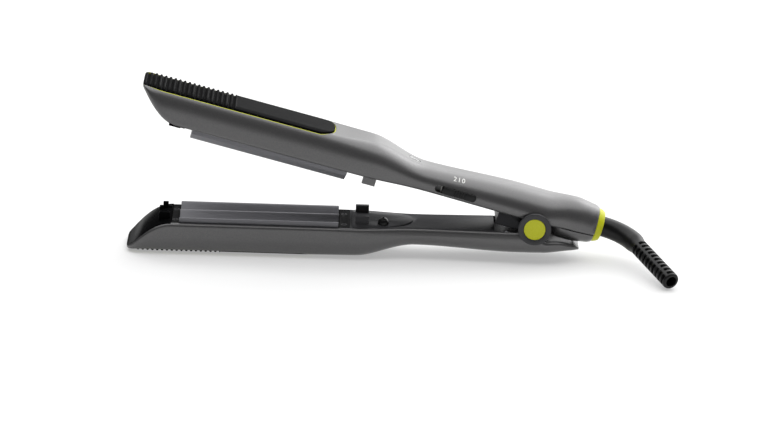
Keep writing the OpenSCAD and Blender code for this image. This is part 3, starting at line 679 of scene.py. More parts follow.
@dataclass(frozen=True)
class ArmForm:
    """Shape of an arm along its length, as the solids have it but for the rounding."""

    arm: Arm
    hinge_x: float = 175.0
    hinge_z: float = 24.5
    open_angle: float = 14.2
    axis_n: float = -3.5
    tip_x: float = -81.0
    overhang: float = 4.0
    belly_end: float = 63.15
    waist_x: float = 100.27
    hip_x: float = 165.0
    tail_x: float = 204.0
    barrel_x: float = 198.0
    rear_x: float = 213.0
    widths: tuple[float, float, float] = (19.3, 15.5, 17.4)
    depths: tuple[float, float, float] = (21.0, 13.6, 16.4)
    flats: Flat = (0.6, 0.2)
    flat_fade: Flat = (34.0, 88.0)
    corners: tuple[float, float, float] = (12.0, 8.5, 10.0)
    barrel_radii: Flat = (14.0, 12.2)
    barrel_start: float = 4.0
    barrel_flat: float = 0.05
    barrel_round: float = 1.0
    barrel_round_len: float = 3.0
    cord_n: float = 4.0
    wall: float = 2.2
    hollow_share: float = 0.45
    hollow_corner: float = 0.9
    hollow_reach: float = 1.0
    floor: float = 4.8
    floor_end: float = 43.0
    rim_round: float = 2.0
    rim_share: float = 0.35
    corner_share: float = 0.95
    nose_len: float = 28.0
    nose_drop: float = 18.0
    nose_curve: float = 1.2
    nose_plan: float = 21.0
    nose_square: float = 2.6
    nose_bunch: float = 1.7
    rear_bunch: float = 1.3
    tip_half_w: float = 9.5
    tip_round: float = 0.8
    tip_lift: float = 1.0
    tip_lift_len: float = 9.0
    tail_half_w: float = 6.0
    tail_start: float = 6.0
    tail_over: float = 4.0
    tail_step: float = 5.6
    tail_step_run: Flat = (-5.0, 9.0)
    tail_drop: float = 6.4
    tail_drop_start: float = 13.0
    tail_rise: float = 2.4
    solid_tip: float = 4.0
    band: float = 4.6
    lean: float = 1.1
    lean_start: float = 30.0
    lean_end: float = 8.0
    lean_curve: float = 1.2
    proud: float = 1.0
    proud_tip: float = 0.3
    proud_tip_len: float = 8.0
    proud_fade: Flat = (-25.0, 10.0)

    @property
    def upper(self) -> bool:
        """Whether this is the upper arm."""
        return self.arm is Arm.UPPER

    @property
    def tip(self) -> float:
        """Place of the arm's own tip."""
        return self.tip_x - (self.overhang if self.upper else 0)

    @property
    def end(self) -> float:
        """Place of the arm's rear end."""
        return self.rear_x if self.upper else self.tail_x

    def place(self, point: Sequence[float]) -> Vector:
        """Point of the arm's frame in the part's frame.

        Args:
            point: x, y and n.

        Returns:
            The point in millimetres.
        """
        x, y, n = point
        if not self.upper:
            return Vector((x, y, self.depths[0] - n))
        turn = math.radians(self.open_angle)
        along, out = x - self.hinge_x, n - self.axis_n
        return Vector(
            (
                self.hinge_x + along * math.cos(turn) + out * math.sin(turn),
                y,
                self.hinge_z - along * math.sin(turn) + out * math.cos(turn),
            )
        )

    def nose_round(self, t: float) -> float:
        """Squarish quarter round from 1 at 0 to 0 at 1."""
        return (1 - clamp01(t) ** self.nose_square) ** (1 / self.nose_square)

    def along(self, x: float, values: tuple[float, float, float], barrel: float) -> float:
        """Value that blends from the plates to the waist, the hip and the barrel.

        Args:
            x: place along the arm.
            values: value at the plates, the waist and the hip.
            barrel: value at the barrel, on the upper arm alone.

        Returns:
            The value there.
        """
        front = mix(values[0], values[1], smooth(self.belly_end, self.waist_x, x))
        back = mix(front, values[2], smooth(self.waist_x, self.hip_x, x))
        if not self.upper:
            return back
        return mix(back, barrel, smooth(self.hinge_x + self.barrel_start, self.barrel_x, x))

    def barrel(self, x: float) -> float:
        """Radius of the cord barrel.

        Args:
            x: place along the arm.

        Returns:
            The radius, less at the rounded end.
        """
        run = self.barrel_round_len
        rounded = self.barrel_round * clamp01((x - self.rear_x + run) / run) ** 2
        return mix(*self.barrel_radii, smooth(self.barrel_x, self.rear_x, x)) - rounded

    def tip_inset(self, x: float) -> float:
        """How far the rounded tip draws in."""
        return self.tip_round * (1 - round_end(1 - (x - self.tip) / self.tip_round))

    def width(self, x: float) -> float:
        """Half the arm's width.

        Args:
            x: place along the arm.

        Returns:
            The half width, drawn in at the nose and the tail.
        """
        body = self.along(x, self.widths, self.barrel(x))
        if x < self.hinge_x:
            nose = self.nose_round((self.tip + self.nose_plan - x) / self.nose_plan)
            return mix(self.tip_half_w, body, nose) - self.tip_inset(x)
        past, run = x - self.hinge_x - self.tail_start, self.tail_x - self.hinge_x - self.tail_over
        return max(self.tail_half_w, body * (1 if self.upper else round_end(past / run)))

    def depth(self, x: float) -> float:
        """Depth of the outer face.

        Args:
            x: place along the arm.

        Returns:
            The depth from the rim at the plates.
        """
        lifted = clamp01((self.tip + self.tip_lift_len - x) / self.tip_lift_len) ** 2
        depths = (self.depths[0] - self.tip_lift * lifted, *self.depths[1:])
        rise = 0 if self.upper else self.tail_rise * smooth(self.hinge_x, self.tail_x, x)
        return self.along(x, depths, self.cord_n + self.barrel(x)) - rise - self.tip_inset(x)

    def rim(self, x: float) -> float:
        """Depth of the rim.

        Args:
            x: place along the arm.

        Returns:
            The depth, more at the nose and behind the hinge.
        """
        fall = clamp01((self.tip + self.nose_len - x) / self.nose_len)
        nose = self.nose_drop * (1 - (1 - fall**2) ** self.nose_curve)
        if self.upper:
            return nose
        step = self.tail_step * smooth(*(self.hinge_x + end for end in self.tail_step_run), x)
        start = self.hinge_x + self.tail_drop_start
        drop = self.tail_drop * clamp01((x - start) / (self.tail_x - start)) ** 2
        return nose + step + drop

    def rim_radius(self, depth: float, rim: float) -> float:
        """Radius of the rounded rim, less where the arm is thin."""
        return min(self.rim_round, self.rim_share * (depth - rim))

    def inner_width(self, x: float) -> float:
        """Half the width of the hollow."""
        return max(self.width(x) - self.wall, self.hollow_share * self.width(x))

    def inner_depth(self, x: float) -> float:
        """Depth of the hollow."""
        floor = mix(self.floor, self.wall, smooth(self.floor_end, self.waist_x, x))
        return max(self.rim(x), self.depth(x) - floor)

    def roundness(self, x: float) -> float:
        """Share of the barrel's round section."""
        return smooth(self.waist_x, self.barrel_x, x) if self.upper else 0.0

    def flat_share(self, x: float) -> float:
        """Share of the half width that is flat on the outer face."""
        arm = mix(*self.flats, smooth(*self.flat_fade, x))
        return mix(arm, self.barrel_flat, self.roundness(x))

    def corner_height(self, x: float) -> float:
        """Height of the rounded corner."""
        arm = self.along(x, self.corners, self.corners[2])
        return mix(arm, self.barrel_radii[0], self.roundness(x))

    def skin(self, x: float) -> float:
        """How far the housing lies under the grip ribs.

        Args:
            x: place along the arm.

        Returns:
            The distance.
        """
        front = mix(self.proud_tip, 1.0, smooth(self.tip, self.tip + self.proud_tip_len, x))
        fade = smooth(*(self.belly_end + end for end in self.proud_fade), x)
        return self.proud * front * (1 - fade)

    def shoulder(self, x: float, under: float = 0.0) -> tuple[float, float, float, float]:
        """Measures of the outer face, or of a face under it.

        Args:
            x: place along the arm.
            under: how far the face lies under the outermost one.

        Returns:
            Half width, flat half width, depth and corner height.
        """
        w, d, r = self.width(x), self.depth(x) - under, self.rim(x)
        limit = self.corner_share * (d - r - self.rim_radius(d, r))
        return w, w * self.flat_share(x), d, min(self.corner_height(x), limit)

    def face_depth(self, x: float, y: float, under: float = 0.0) -> float:
        """Depth of such a face at a distance y from the middle."""
        w, flat, d, corner = self.shoulder(x, under)
        return d - corner * (1 - round_end((abs(y) - flat) / (w - flat)))

    def mirrored(self, x: float, half: Sequence[Flat]) -> list[Vector]:
        """Whole section from a half that ends in the middle."""
        left = [Vector((x, -y, n)) for y, n in half]
        return left + [Vector((x, y, n)) for y, n in reversed(half[:-1])]

    def corner(self, half: float, flat: float, depth: float, height: float, steps: int) -> list[Flat]:
        """Rounded corner from the side to the flat of a face."""
        turn = angles(0, 90, steps)
        return [(flat + (half - flat) * math.cos(a), depth - height + height * math.sin(a)) for a in turn]

    def section(self, x: float) -> list[Vector]:
        """Outer section, with a rounded rim and a band that leans in along the handle.

        Args:
            x: place along the arm.

        Returns:
            Its points in order.
        """
        w, flat, d, height = self.shoulder(x, self.skin(x))
        r = self.rim(x)
        rr = self.rim_radius(d, r)
        half = [(w - rr + rr * math.sin(a), r + rr - rr * math.cos(a)) for a in angles(0, 90, 5)]
        half += [(w, n) for n in spread(r + rr, d - height, 5)[1:-1]]
        half += self.corner(w, flat, d, height, 15)
        half += [(flat * (1 - i / 4), d) for i in range(1, 5)]
        start = smooth(self.belly_end - self.lean_start, self.waist_x, x)
        lean = self.lean * start * (1 - smooth(self.hip_x, self.end - self.lean_end, x))
        leaned = [(y - lean * clamp01(1 - (n - r) / self.band) ** self.lean_curve, n) for y, n in half]
        return self.mirrored(x, leaned)

    def hollow(self, x: float) -> list[Vector]:
        """Section of the hollow, reaching out of the rim.

        Args:
            x: place along the arm.

        Returns:
            Its points in order.
        """
        at = min(x, self.end)
        w, d, r = self.inner_width(at), self.inner_depth(at), self.rim(at)
        flat = self.hollow_corner * w * self.flat_share(at)
        height = min(self.corner_height(at), self.hollow_corner * (d - r))
        return self.mirrored(
            x, [(w, r - self.hollow_reach), *self.corner(w, flat, d, height, 10), (0, d)]
        )

    def stations(self) -> list[float]:
        """Places of the sections, closer together where the arm curves.

        Returns:
            The places from the tip to the rear end.
        """
        nose = [self.tip + self.nose_len * (i / 24) ** self.nose_bunch for i in range(25)]
        belly = spread(self.tip + self.nose_len, self.belly_end, 24)[1:]
        handle = spread(self.belly_end, self.hip_x, 42)[1:]
        back = [1 - (1 - i / 30) ** self.rear_bunch for i in range(1, 31)]
        return nose + belly + handle + [mix(self.hip_x, self.end, t) for t in back]


@dataclass
class Panel:
    """Ribbed grip panel of an arm, with the lime line round it."""

    form: ArmForm
    half_w: float = 15.2
    rear_x: float = 39.0
    rear_round: float = 11.0
    seat_n: float = 18.0
    seat_over: float = 2.0
    seat_out: float = 1.0
    tip_w: float = 11.5
    tip_wall: float = 0.5
    trim_w: float = 0.8
    parting: float = 0.05
    rib_start: float = 1.95
    rib_pitch: float = 3.05
    rib_count: int = 19
    rib_depth: float = 1.4
    rib_shift: float = 0.225
    rib_round: tuple[Flat, Flat] = ((0.05, 0.5), (0.35, 0.1))
    rib_inset: float = 0.7
    rib_steps: int = 9
    groove_share: float = 0.33
    ledge_w: float = 1.0
    ledge_share: float = 0.3
    ledge_depth: float = 1.1
    least_half: float = 0.2
    across: int = 14
    smooth_drop: float = 0.35
    trim_drop: float = 0.45
    trim_round: float = 0.1

    def plan(self, margin: float) -> list[Flat]:
        """Half outline from the tip to the rear end, drawn in by a margin.

        Args:
            margin: how far it is drawn in.

        Returns:
            Its points (x, y).
        """
        x0 = self.form.tip
        reach = self.form.nose_plan
        centre, run = self.rear_x - self.rear_round, self.rear_round - margin
        xs = [x0 + reach * t * t for t in spread(0, 1, 16)] + spread(x0 + reach, centre, 24)[1:-1]
        xs += [centre + run * math.sin(a) for a in angles(0, 90, 24)]
        return [(x, self.half_width(x, margin)) for x in xs]

    def outline(self, margin: float) -> list[Flat]:
        """Whole outline, drawn in by a margin."""
        half = self.plan(margin)
        return half + [(x, -y) for x, y in reversed(half[:-1])]

    def half_width(self, x: float, margin: float) -> float:
        """Half the panel's width at a place along it.

        Args:
            x: place along the arm.
            margin: how far it is drawn in.

        Returns:
            The half width.
        """
        form, w = self.form, self.half_w - margin
        behind = (x - self.rear_x + self.rear_round) / (self.rear_round - margin)
        if behind > 0:
            return w * (1 - clamp01(behind) ** 2) ** (1 / form.nose_square)
        ahead = (form.tip + form.nose_plan - x) / form.nose_plan
        curve = mix(self.tip_w - margin, w, form.nose_round(ahead))
        return min(curve, form.width(x) - self.tip_wall - margin)

    def groove(self, x: float) -> float:
        """Depth of the grip grooves, and of the smooth part behind them.

        Args:
            x: place along the arm.

        Returns:
            The depth under the ribs.
        """
        place = (x - self.form.tip - self.rib_start) / self.rib_pitch - self.rib_shift
        if place > self.rib_count - 0.5:
            return self.smooth_drop
        near = place - round(place)
        if place <= -0.5 or abs(near) >= self.groove_share:
            return 0.0
        return self.rib_depth * math.cos(math.pi / 2 * near / self.groove_share)

    def seat(self) -> Sculpt:
        """Solid that is cut out of the housing, open at the tip.

        Returns:
            The solid in the arm's frame.
        """
        levels = (self.seat_n, self.form.depths[0] + self.seat_over)
        out = self.form.tip - self.seat_out
        outline = self.outline(0)
        outline = [(out, outline[0][1]), *outline, (out, outline[-1][1])]
        return Sculpt.lofted([[Vector((x, y, n)) for x, y in outline] for n in levels])

    def section(self, x: float, margin: float) -> list[Vector]:
        """Section of the panel: a ledge beside the line, then the ribs or the smooth top.

        Args:
            x: place along the arm.
            margin: how far it is drawn in.

        Returns:
            Its points in order.
        """
        edge = max(self.half_width(x, margin), self.least_half)
        ledge = min(self.ledge_w, self.ledge_share * edge)
        shares = spread(0, 1, self.across)
        top = [self.form.face_depth(x, edge * t) - self.groove(x) for t in shares]
        side = self.form.face_depth(x, edge, self.form.skin(x)) - self.ledge_depth
        rib = edge - ledge
        half = [(edge, self.seat_n), (edge, side), (rib, side)]
        half += [(rib - inset, max(side, top[-1] - drop)) for inset, drop in self.rib_round]
        half += [((rib - self.rib_inset) * t, n) for t, n in zip(reversed(shares), reversed(top))]
        return self.form.mirrored(x, half)

    def grip(self) -> Sculpt:
        """Panel with rounded ribs.

        Returns:
            The panel in place.
        """
        margin = self.trim_w + self.parting
        ribs_end = self.form.tip + self.rib_start + self.rib_count * self.rib_pitch
        centre, run = self.rear_x - self.rear_round, self.rear_round - margin
        xs = spread(self.form.tip, ribs_end, self.rib_steps * self.rib_count)
        xs += spread(ribs_end, centre, 16)[1:]
        xs += [centre + run * math.sin(a) for a in angles(0, 88, 18)[1:]]
        return Sculpt.lofted([self.section(x, margin) for x in xs]).moved(self.form.place)

    def line(self) -> Sculpt:
        """Lime line that fills the seat's edge.

        Returns:
            The line in place.
        """
        rings = []
        for outer, inner in zip(self.outline(self.parting), self.outline(self.trim_w)):
            corners = []
            for (x, y), round_by in ((outer, 0.0), (inner, self.trim_round)):
                top = self.form.face_depth(x, y, self.form.skin(x)) - self.trim_drop - round_by
                corners.append((Vector((x, y, self.seat_n)), Vector((x, y, top))))
            rings.append([*corners[0], *reversed(corners[1])])
        return Sculpt.lofted(rings).moved(self.form.place)


@dataclass
class WavePlate:
    """Aluminium plate with ridges along the arm."""

    form: ArmForm
    x0: float = -48.0
    x1: float = 52.0
    half_w: float = 15.9
    pitch: float = 15.4
    height: float = 5.6
    web: float = 2.0
    skirt_h: float = 1.5
    skirt_t: float = 1.4
    lower_n: float = -0.3
    upper_n: float = -5.5
    slope: float = 0.96
    edge: float = 0.35

    @property
    def middle(self) -> float:
        """Middle depth of the waved face."""
        return self.upper_n if self.form.upper else self.lower_n

    def face(self, y: float) -> float:
        """Depth of the waved face."""
        wave = math.asin(self.slope * math.cos(math.tau * y / self.pitch)) / math.asin(self.slope)
        return self.middle + (1 if self.form.upper else -1) * wave * self.height / 2

    def build(self) -> Sculpt:
        """Plate with skirts and rounded ends.

        Returns:
            The plate in place.
        """
        back = self.middle + self.height / 2 + self.web
        skirt, inside = back + self.skirt_h, self.half_w - self.skirt_t
        half = [(self.half_w, skirt)]
        half += [(y, self.face(y)) for y in reversed(spread(0, self.half_w, 44))]
        face = [(-y, n) for y, n in half] + list(reversed(half[:-1]))
        under = [(inside, skirt), (inside, back), (-inside, back), (-inside, skirt)]
        sculpt = Sculpt()
        caps = sculpt.loft([[Vector((x, y, n)) for y, n in face + under] for x in (self.x0, self.x1)])
        sculpt.bevel(dict.fromkeys(e for cap in caps for e in cap.edges), self.edge, 2, clamp=False)
        return sculpt.moved(self.form.place)


@dataclass
class NoseCover:
    """Black lid over the front of an arm, with the guide lugs."""

    form: ArmForm
    start: float = 0.3
    x1: float = -53.0
    gap: float = 0.25
    proud: float = 0.14
    brim_share: float = 0.55
    brim_sunk: float = 0.02
    seat_gap: float = 0.05
    rise_len: float = 6.0
    thickness: float = 2.0
    crown: float = 1.2
    bunch: float = 1.5
    lug_x: float = -61.0
    lug_len: float = 7.0
    lug_y: Flat = (8.6, 11.4)
    lug_h: float = 4.8
    post_in: float = 1.8
    post_drop: float = 0.4
    base_h: float = 1.7
    base_over: float = 0.5
    lip_x: Flat = (-2.0, 5.5)
    lip_y: Flat = (0.4, 3.0)
    lip_h: float = 2.1
    lip_root: float = 1.0
    round_by: float = 0.5

    def lid(self, sculpt: Sculpt) -> None:
        """Adds the crowned lid that lies on the falling rim and sinks into the hollow.

        Args:
            sculpt: the mesh it goes into.
        """
        form, rings = self.form, []
        x0, solid_end = form.tip + self.start, form.tip + form.solid_tip
        for t in spread(0, 1, 40):
            x = mix(x0, self.x1, t**self.bunch)
            r = form.rim(x)
            past = smooth(solid_end, solid_end + self.rise_len, x)
            w = form.width(x) - self.brim_share * form.rim_radius(form.depth(x), r)
            inside = form.inner_width(x) - self.gap
            floor = min(r + self.thickness * past, form.inner_depth(x) - self.seat_gap)
            under, brim = max(r + self.seat_gap, floor), r + self.brim_sunk
            half = [(inside, under), (inside, brim), (w, brim)]
            top, crown = r - self.proud, self.crown * past
            half += [(w * k, top - crown * (1 - k * k)) for k in reversed(spread(0, 1, 8))]
            rings.append(form.mirrored(x, half))
        sculpt.loft(rings)

    def lugs(self, sculpt: Sculpt) -> None:
        """Adds the guide lugs of the lower arm, or the lips of the upper one.

        Args:
            sculpt: the mesh they go into.
        """
        x0, x1 = self.lug_x, self.lug_x + self.lug_len
        y0, y1 = self.lug_y
        foot, by = self.thickness, self.round_by
        if self.form.upper:
            first, last = (x0 + end for end in self.lip_x)
            for side in (-1, 1):
                low, high = sorted(side * (y1 + end) for end in self.lip_y)
                sculpt.block((first, low, -self.lip_h), (last, high, self.lip_root), by)
            return
        sculpt.block((x0, -y1, -self.lug_h), (x1, -y0, foot), by)
        over, post = self.base_over, self.post_in
        sculpt.block((x0 - over, y0, -self.base_h), (x1 + over, y1, foot), by)
        sculpt.block((x0 + post, y0, self.post_drop - self.lug_h), (x1 - post, y1, foot), by)

    def build(self) -> Sculpt:
        """Lid and lugs in place.

        Returns:
            The whole cover.
        """
        sculpt = Sculpt()
        self.lid(sculpt)
        self.lugs(sculpt)
        return sculpt.moved(self.form.place)


@dataclass
class ArmLooks:
    """Outer pieces of one arm."""

    bench: Bench
    form: ArmForm
    slot_x: Flat = (107.5, 134.4)
    slot_n: float = 4.7
    slot_h: float = 4.9
    slot_y: Flat = (-24.0, -6.0)
    window_x: float = 91.77
    window_size: Flat = (8.0, 3.6)
    window_h: Flat = (-6.0, 6.0)
    least_step: float = 0.5
    hollow_over: float = 1.0
    edge: float = 0.3

    @property
    def name(self) -> str:
        """First word of the arm's node names."""
        return self.form.arm.value

    def pill(self, length: float, width: float) -> list[Flat]:
        """Outline of a pill, lengthwise and across.

        Args:
            length: over both ends.
            width: of the straight part.

        Returns:
            Its points in order.
        """
        radius, offset = width / 2, (length - width) / 2
        right = [(offset + radius * math.cos(a), radius * math.sin(a)) for a in angles(-90, 90, 16)]
        return right + [(-x, -y) for x, y in right]

    def slider_slot(self) -> Sculpt:
        """Cut for the slider knob in the near side.

        Returns:
            The cut in the arm's frame.
        """
        middle = sum(self.slot_x) / 2
        outline = self.pill(self.slot_x[1] - self.slot_x[0], self.slot_h)
        return Sculpt.lofted(
            [[Vector((middle + x, y, self.slot_n + n)) for x, n in outline] for y in self.slot_y]
        )

    def window_cut(self) -> Sculpt:
        """Cut for the indicator window in the outer face.

        Returns:
            The cut in the arm's frame.
        """
        x, depth = self.window_x, self.form.depth
        slope = (depth(x - 1) - depth(x + 1)) / 2
        matrix = Matrix.Translation((x, 0, depth(x))) @ Matrix.Rotation(math.atan(slope), 4, "Y")
        outline = self.pill(*self.window_size)
        return Sculpt.lofted([[matrix @ Vector((*spot, h)) for spot in outline] for h in self.window_h])

    def hollow(self) -> Sculpt:
        """Inside of the housing.

        Returns:
            The cut in the arm's frame.
        """
        form = self.form
        x0 = form.tip + form.solid_tip
        x1 = form.end + (self.hollow_over if form.upper else -form.solid_tip)
        least = self.least_step
        xs = [x0, *(x for x in form.stations() if x0 + least < x < x1 - least), x1]
        return Sculpt.lofted([form.hollow(x) for x in xs])

    def housing(self) -> None:
        """Half shell with the panel's seat and the upper arm's openings."""
        solid = Sculpt.lofted([self.form.section(x) for x in self.form.stations()])
        cuts = [self.hollow(), Panel(self.form).seat()]
        if self.form.upper:
            cuts += [self.slider_slot(), self.window_cut()]
        shell = self.bench.carve(solid, cuts)
        self.bench.piece(shell.moved(self.form.place), f"{self.name}_housing")

    def build(self) -> None:
        """Builds and dresses the arm's outer pieces."""
        self.housing()
        panel = Panel(self.form)
        self.bench.piece(panel.grip(), f"{self.name}_grip_panel", angle=50)
        self.bench.piece(panel.line(), f"{self.name}_trim_line")
        self.bench.piece(WavePlate(self.form).build(), f"{self.name}_wave_plate", angle=40)
        self.bench.piece(NoseCover(self.form).build(), f"{self.name}_nose_cover")
        self.bench.soften(f"{self.name}_carrier", self.edge, "grip_black")
        cover_slot = "shell_grey" if self.form.upper else ""
        self.bench.soften(f"{self.name}_handle_cover", self.edge, cover_slot)


@dataclass
class Hinge:
    """Rings, caps, spring and stop at the joint of the arms."""

    bench: Bench
    form: ArmForm
    ring_y: float = 17.9
    ring_t: float = 1.8
    ring_r: float = 10.4
    ring_edge: float = 0.6
    ring_foot: float = 0.2
    ring_lip: float = 0.25
    bore: float = 2.5
    cap_r: float = 6.8
    cap_t: float = 0.9
    cap_sunk: float = 0.4
    cap_dish: float = 0.4
    cap_edge: float = 0.15
    slip: float = 0.15
    wire_r: float = 0.55
    wire_sides: int = 10
    wire_lean: float = 0.02
    wire_slip: float = 0.5
    turns: int = 4
    turn_steps: int = 32
    spring_half: float = 4.25
    legs: Flat = (6.5, 3.5)
    stop: tuple[float, float, float] = (80.15, -9.0, 0.2)
    stop_r: float = 3.4
    stop_h: float = 5.2
    dimple: tuple[Flat, Flat, Flat] = ((0.8, 0.2), (0.4, 0.5), (0.0, 0.6))
    edge: float = 0.35

    def on_side(self, side: int) -> Place:
        """Place of a turned piece on one side of the hinge."""
        x, z = self.form.hinge_x, self.form.hinge_z
        return lambda v: Vector((x + v.x, side * (self.ring_y + v.z), z + v.y))

    def both_sides(self, profile: Sequence[Flat]) -> Sculpt:
        """Turned piece on both sides.

        Args:
            profile: its corners (radius, height).

        Returns:
            Both in place.
        """
        whole = Sculpt()
        for side in (-1, 1):
            data = bpy.data.meshes.new("side")
            Sculpt.turned(profile).moved(self.on_side(side)).mesh.to_mesh(data)
            whole.mesh.from_mesh(data)
            bpy.data.meshes.remove(data)
        return whole

    def rings(self) -> Sculpt:
        """Dark rings with rounded edges and a recess.

        Returns:
            Both in place.
        """
        e, r, t = self.ring_edge, self.ring_r, self.ring_t
        recess, seat, lip = self.cap_r + self.slip, t - self.cap_t, self.ring_lip
        profile = [(self.bore, 0), (r - self.ring_foot, 0), (r, self.ring_foot)]
        profile += [(r - e + e * math.cos(a), t - e + e * math.sin(a)) for a in angles(0, 90, 5)]
        profile += [(recess + lip, t), (recess, t - lip), (recess, seat), (self.bore, seat)]
        return self.both_sides(profile)

    def caps(self) -> Sculpt:
        """Dished lime discs in the recess of the rings.

        Returns:
            Both in place.
        """
        base, top = self.ring_t - self.cap_t, self.ring_t - self.cap_sunk
        rim, e = self.cap_r, self.cap_edge
        profile = [(0, base), (rim, base), (rim, top - e), (rim - e, top)]
        dish = [(rim - 2 * e) * s for s in reversed(spread(0, 1, 12))]
        profile += [(r, top - self.cap_dish * (1 - (r / rim) ** 2)) for r in dish]
        return self.both_sides(profile)

    def rubber_stop(self) -> Sculpt:
        """Domed buffer with a dimple.

        Returns:
            The buffer in place.
        """
        r, h = self.stop_r, self.stop_h
        profile = [(0, 0), (r, 0)]
        profile += [(r * math.cos(a), h - r + r * math.sin(a)) for a in angles(0, 76, 10)]
        profile += [(radius, h - depth) for radius, depth in self.dimple]
        x, y, n = self.stop
        buffer = Sculpt.turned(profile, 48)
        return buffer.moved(lambda v: self.form.place((x + v.x, y + v.y, n - v.z)))

    def spring(self) -> Sculpt:
        """Wire wound round the pin, with a leg at each end.

        Returns:
            The spring in place.
        """
        radius = self.bore + self.wire_slip + self.wire_r
        count = self.turn_steps * self.turns
        hinge = Vector((self.form.hinge_x, 0, self.form.hinge_z))
        path = []
        for i in range(count + 1):
            a = math.tau * i * self.turns / count
            y = mix(-self.spring_half, self.spring_half, i / count)
            path.append(hinge + Vector((radius * math.sin(a), y, -radius * math.cos(a))))
        front, back = (Vector((leg, 0, 0)) for leg in self.legs)
        path = [path[0] - front, *path, path[-1] + back]
        turn = [math.tau * k / self.wire_sides for k in range(self.wire_sides)]
        rings = []
        for i, point in enumerate(path):
            along = (path[min(i + 1, len(path) - 1)] - path[max(i - 1, 0)]).normalized()
            side = along.cross(Vector((0, 1, self.wire_lean))).normalized()
            up = along.cross(side)
            rings.append([point + self.wire_r * (math.cos(a) * side + math.sin(a) * up) for a in turn])
        return Sculpt.lofted(rings)

    def build(self) -> None:
        """Builds and dresses the hinge."""
        self.bench.piece(self.rings(), "hinge_rings", angle=50)
        self.bench.piece(self.caps(), "hinge_caps", angle=50)
        self.bench.piece(self.rubber_stop(), "rubber_stop", angle=50)
        self.bench.piece(self.spring(), "opening_spring", angle=60)
        for node in ("hinge_bracket", "hinge_knuckle"):
            self.bench.soften(node, self.edge)


@dataclass
class Controls:
    """Slider knob, its printed number and the small pieces seen round it."""

    bench: Bench
    form: ArmForm
    number: str = "210"
    number_size: float = 5.4
    number_spacing: float = 1.25
    number_bold: float = 0.03
    number_squeeze: float = 0.8
    number_x: float = 121.3
    number_angle: float = 52.0
    number_height: float = 0.05
    number_sunk: float = 0.01
    number_cuts: int = 3
    # Painted light on the knob: faces inside this y that turn outward past this share are painted white.
    painted_light_y: float = -14.2
    painted_light_turn: float = 0.9
    knob_edge: float = 0.25
    window_edge: float = 0.2

    def printed(self) -> None:
        """White number on the shoulder over the slider."""
        curve = bpy.data.curves.new("heat_number", "FONT")
        curve.body, curve.size = self.number, self.number_size
        curve.align_x = curve.align_y = "CENTER"
        curve.space_character, curve.offset = self.number_spacing, self.number_bold
        text = bpy.data.objects.new("heat_number", curve)
        bpy.context.scene.collection.objects.link(text)
        graph = bpy.context.evaluated_depsgraph_get()
        data = bpy.data.meshes.new_from_object(text.evaluated_get(graph))
        bpy.data.objects.remove(text)
        sculpt = Sculpt()
        mesh = sculpt.mesh
        mesh.from_mesh(data)
        bmesh.ops.triangulate(mesh, faces=mesh.faces)
        bmesh.ops.subdivide_edges(mesh, edges=mesh.edges, cuts=self.number_cuts, use_grid_fill=True)
        solid = bmesh.ops.extrude_face_region(mesh, geom=mesh.faces)["geom"]
        for vert in (v for v in solid if isinstance(v, bmesh.types.BMVert)):
            vert.co.z += self.number_height
        obj = sculpt.moved(self.on_shoulder).to_object("heat_number")
        self.bench.shade(obj, "white_plastic")
        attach(obj, Body.UPPER.value)
        LOG.info("%s: %d faces", obj.name, len(obj.data.polygons))

    def knob(self) -> None:
        """Black knob whose outward faces inside the slot are painted white, as painted light for the lit,
        light-grey end of the slot.
        """
        obj = self.bench.soften("slider_knob", self.knob_edge, "black_rubber")
        obj.data.materials.append(self.bench.materials["white_plastic"])
        # Painted light: the outward faces inside the slot take the white finish, brighter than the grey they
        # stand for, so the slot's end looks lit.
        for face in obj.data.polygons:
            if face.normal.y < -self.painted_light_turn and face.center.y > self.painted_light_y * MM:
                face.material_index = 1

    def on_shoulder(self, point: Vector) -> Vector:
        """Wraps a point of the flat number on the near shoulder.

        Args:
            point: the point in the plane of the number.

        Returns:
            Its place in the part.
        """
        x = self.number_x + self.number_squeeze * point.x
        w, flat, d, corner = self.form.shoulder(x)
        turn = math.radians(self.number_angle)
        step = math.hypot((w - flat) * math.sin(turn), corner * math.cos(turn))
        turn += point.y / step
        out = Vector((0, -math.cos(turn) / (w - flat), math.sin(turn) / corner)).normalized()
        spot = Vector((x, -flat - (w - flat) * math.cos(turn), d - corner + corner * math.sin(turn)))
        return self.form.place(spot + out * (point.z - self.number_sunk))

    def build(self) -> None:
        """Builds and dresses the controls."""
        self.printed()
        self.knob()
        self.bench.soften("indicator_window", self.window_edge)


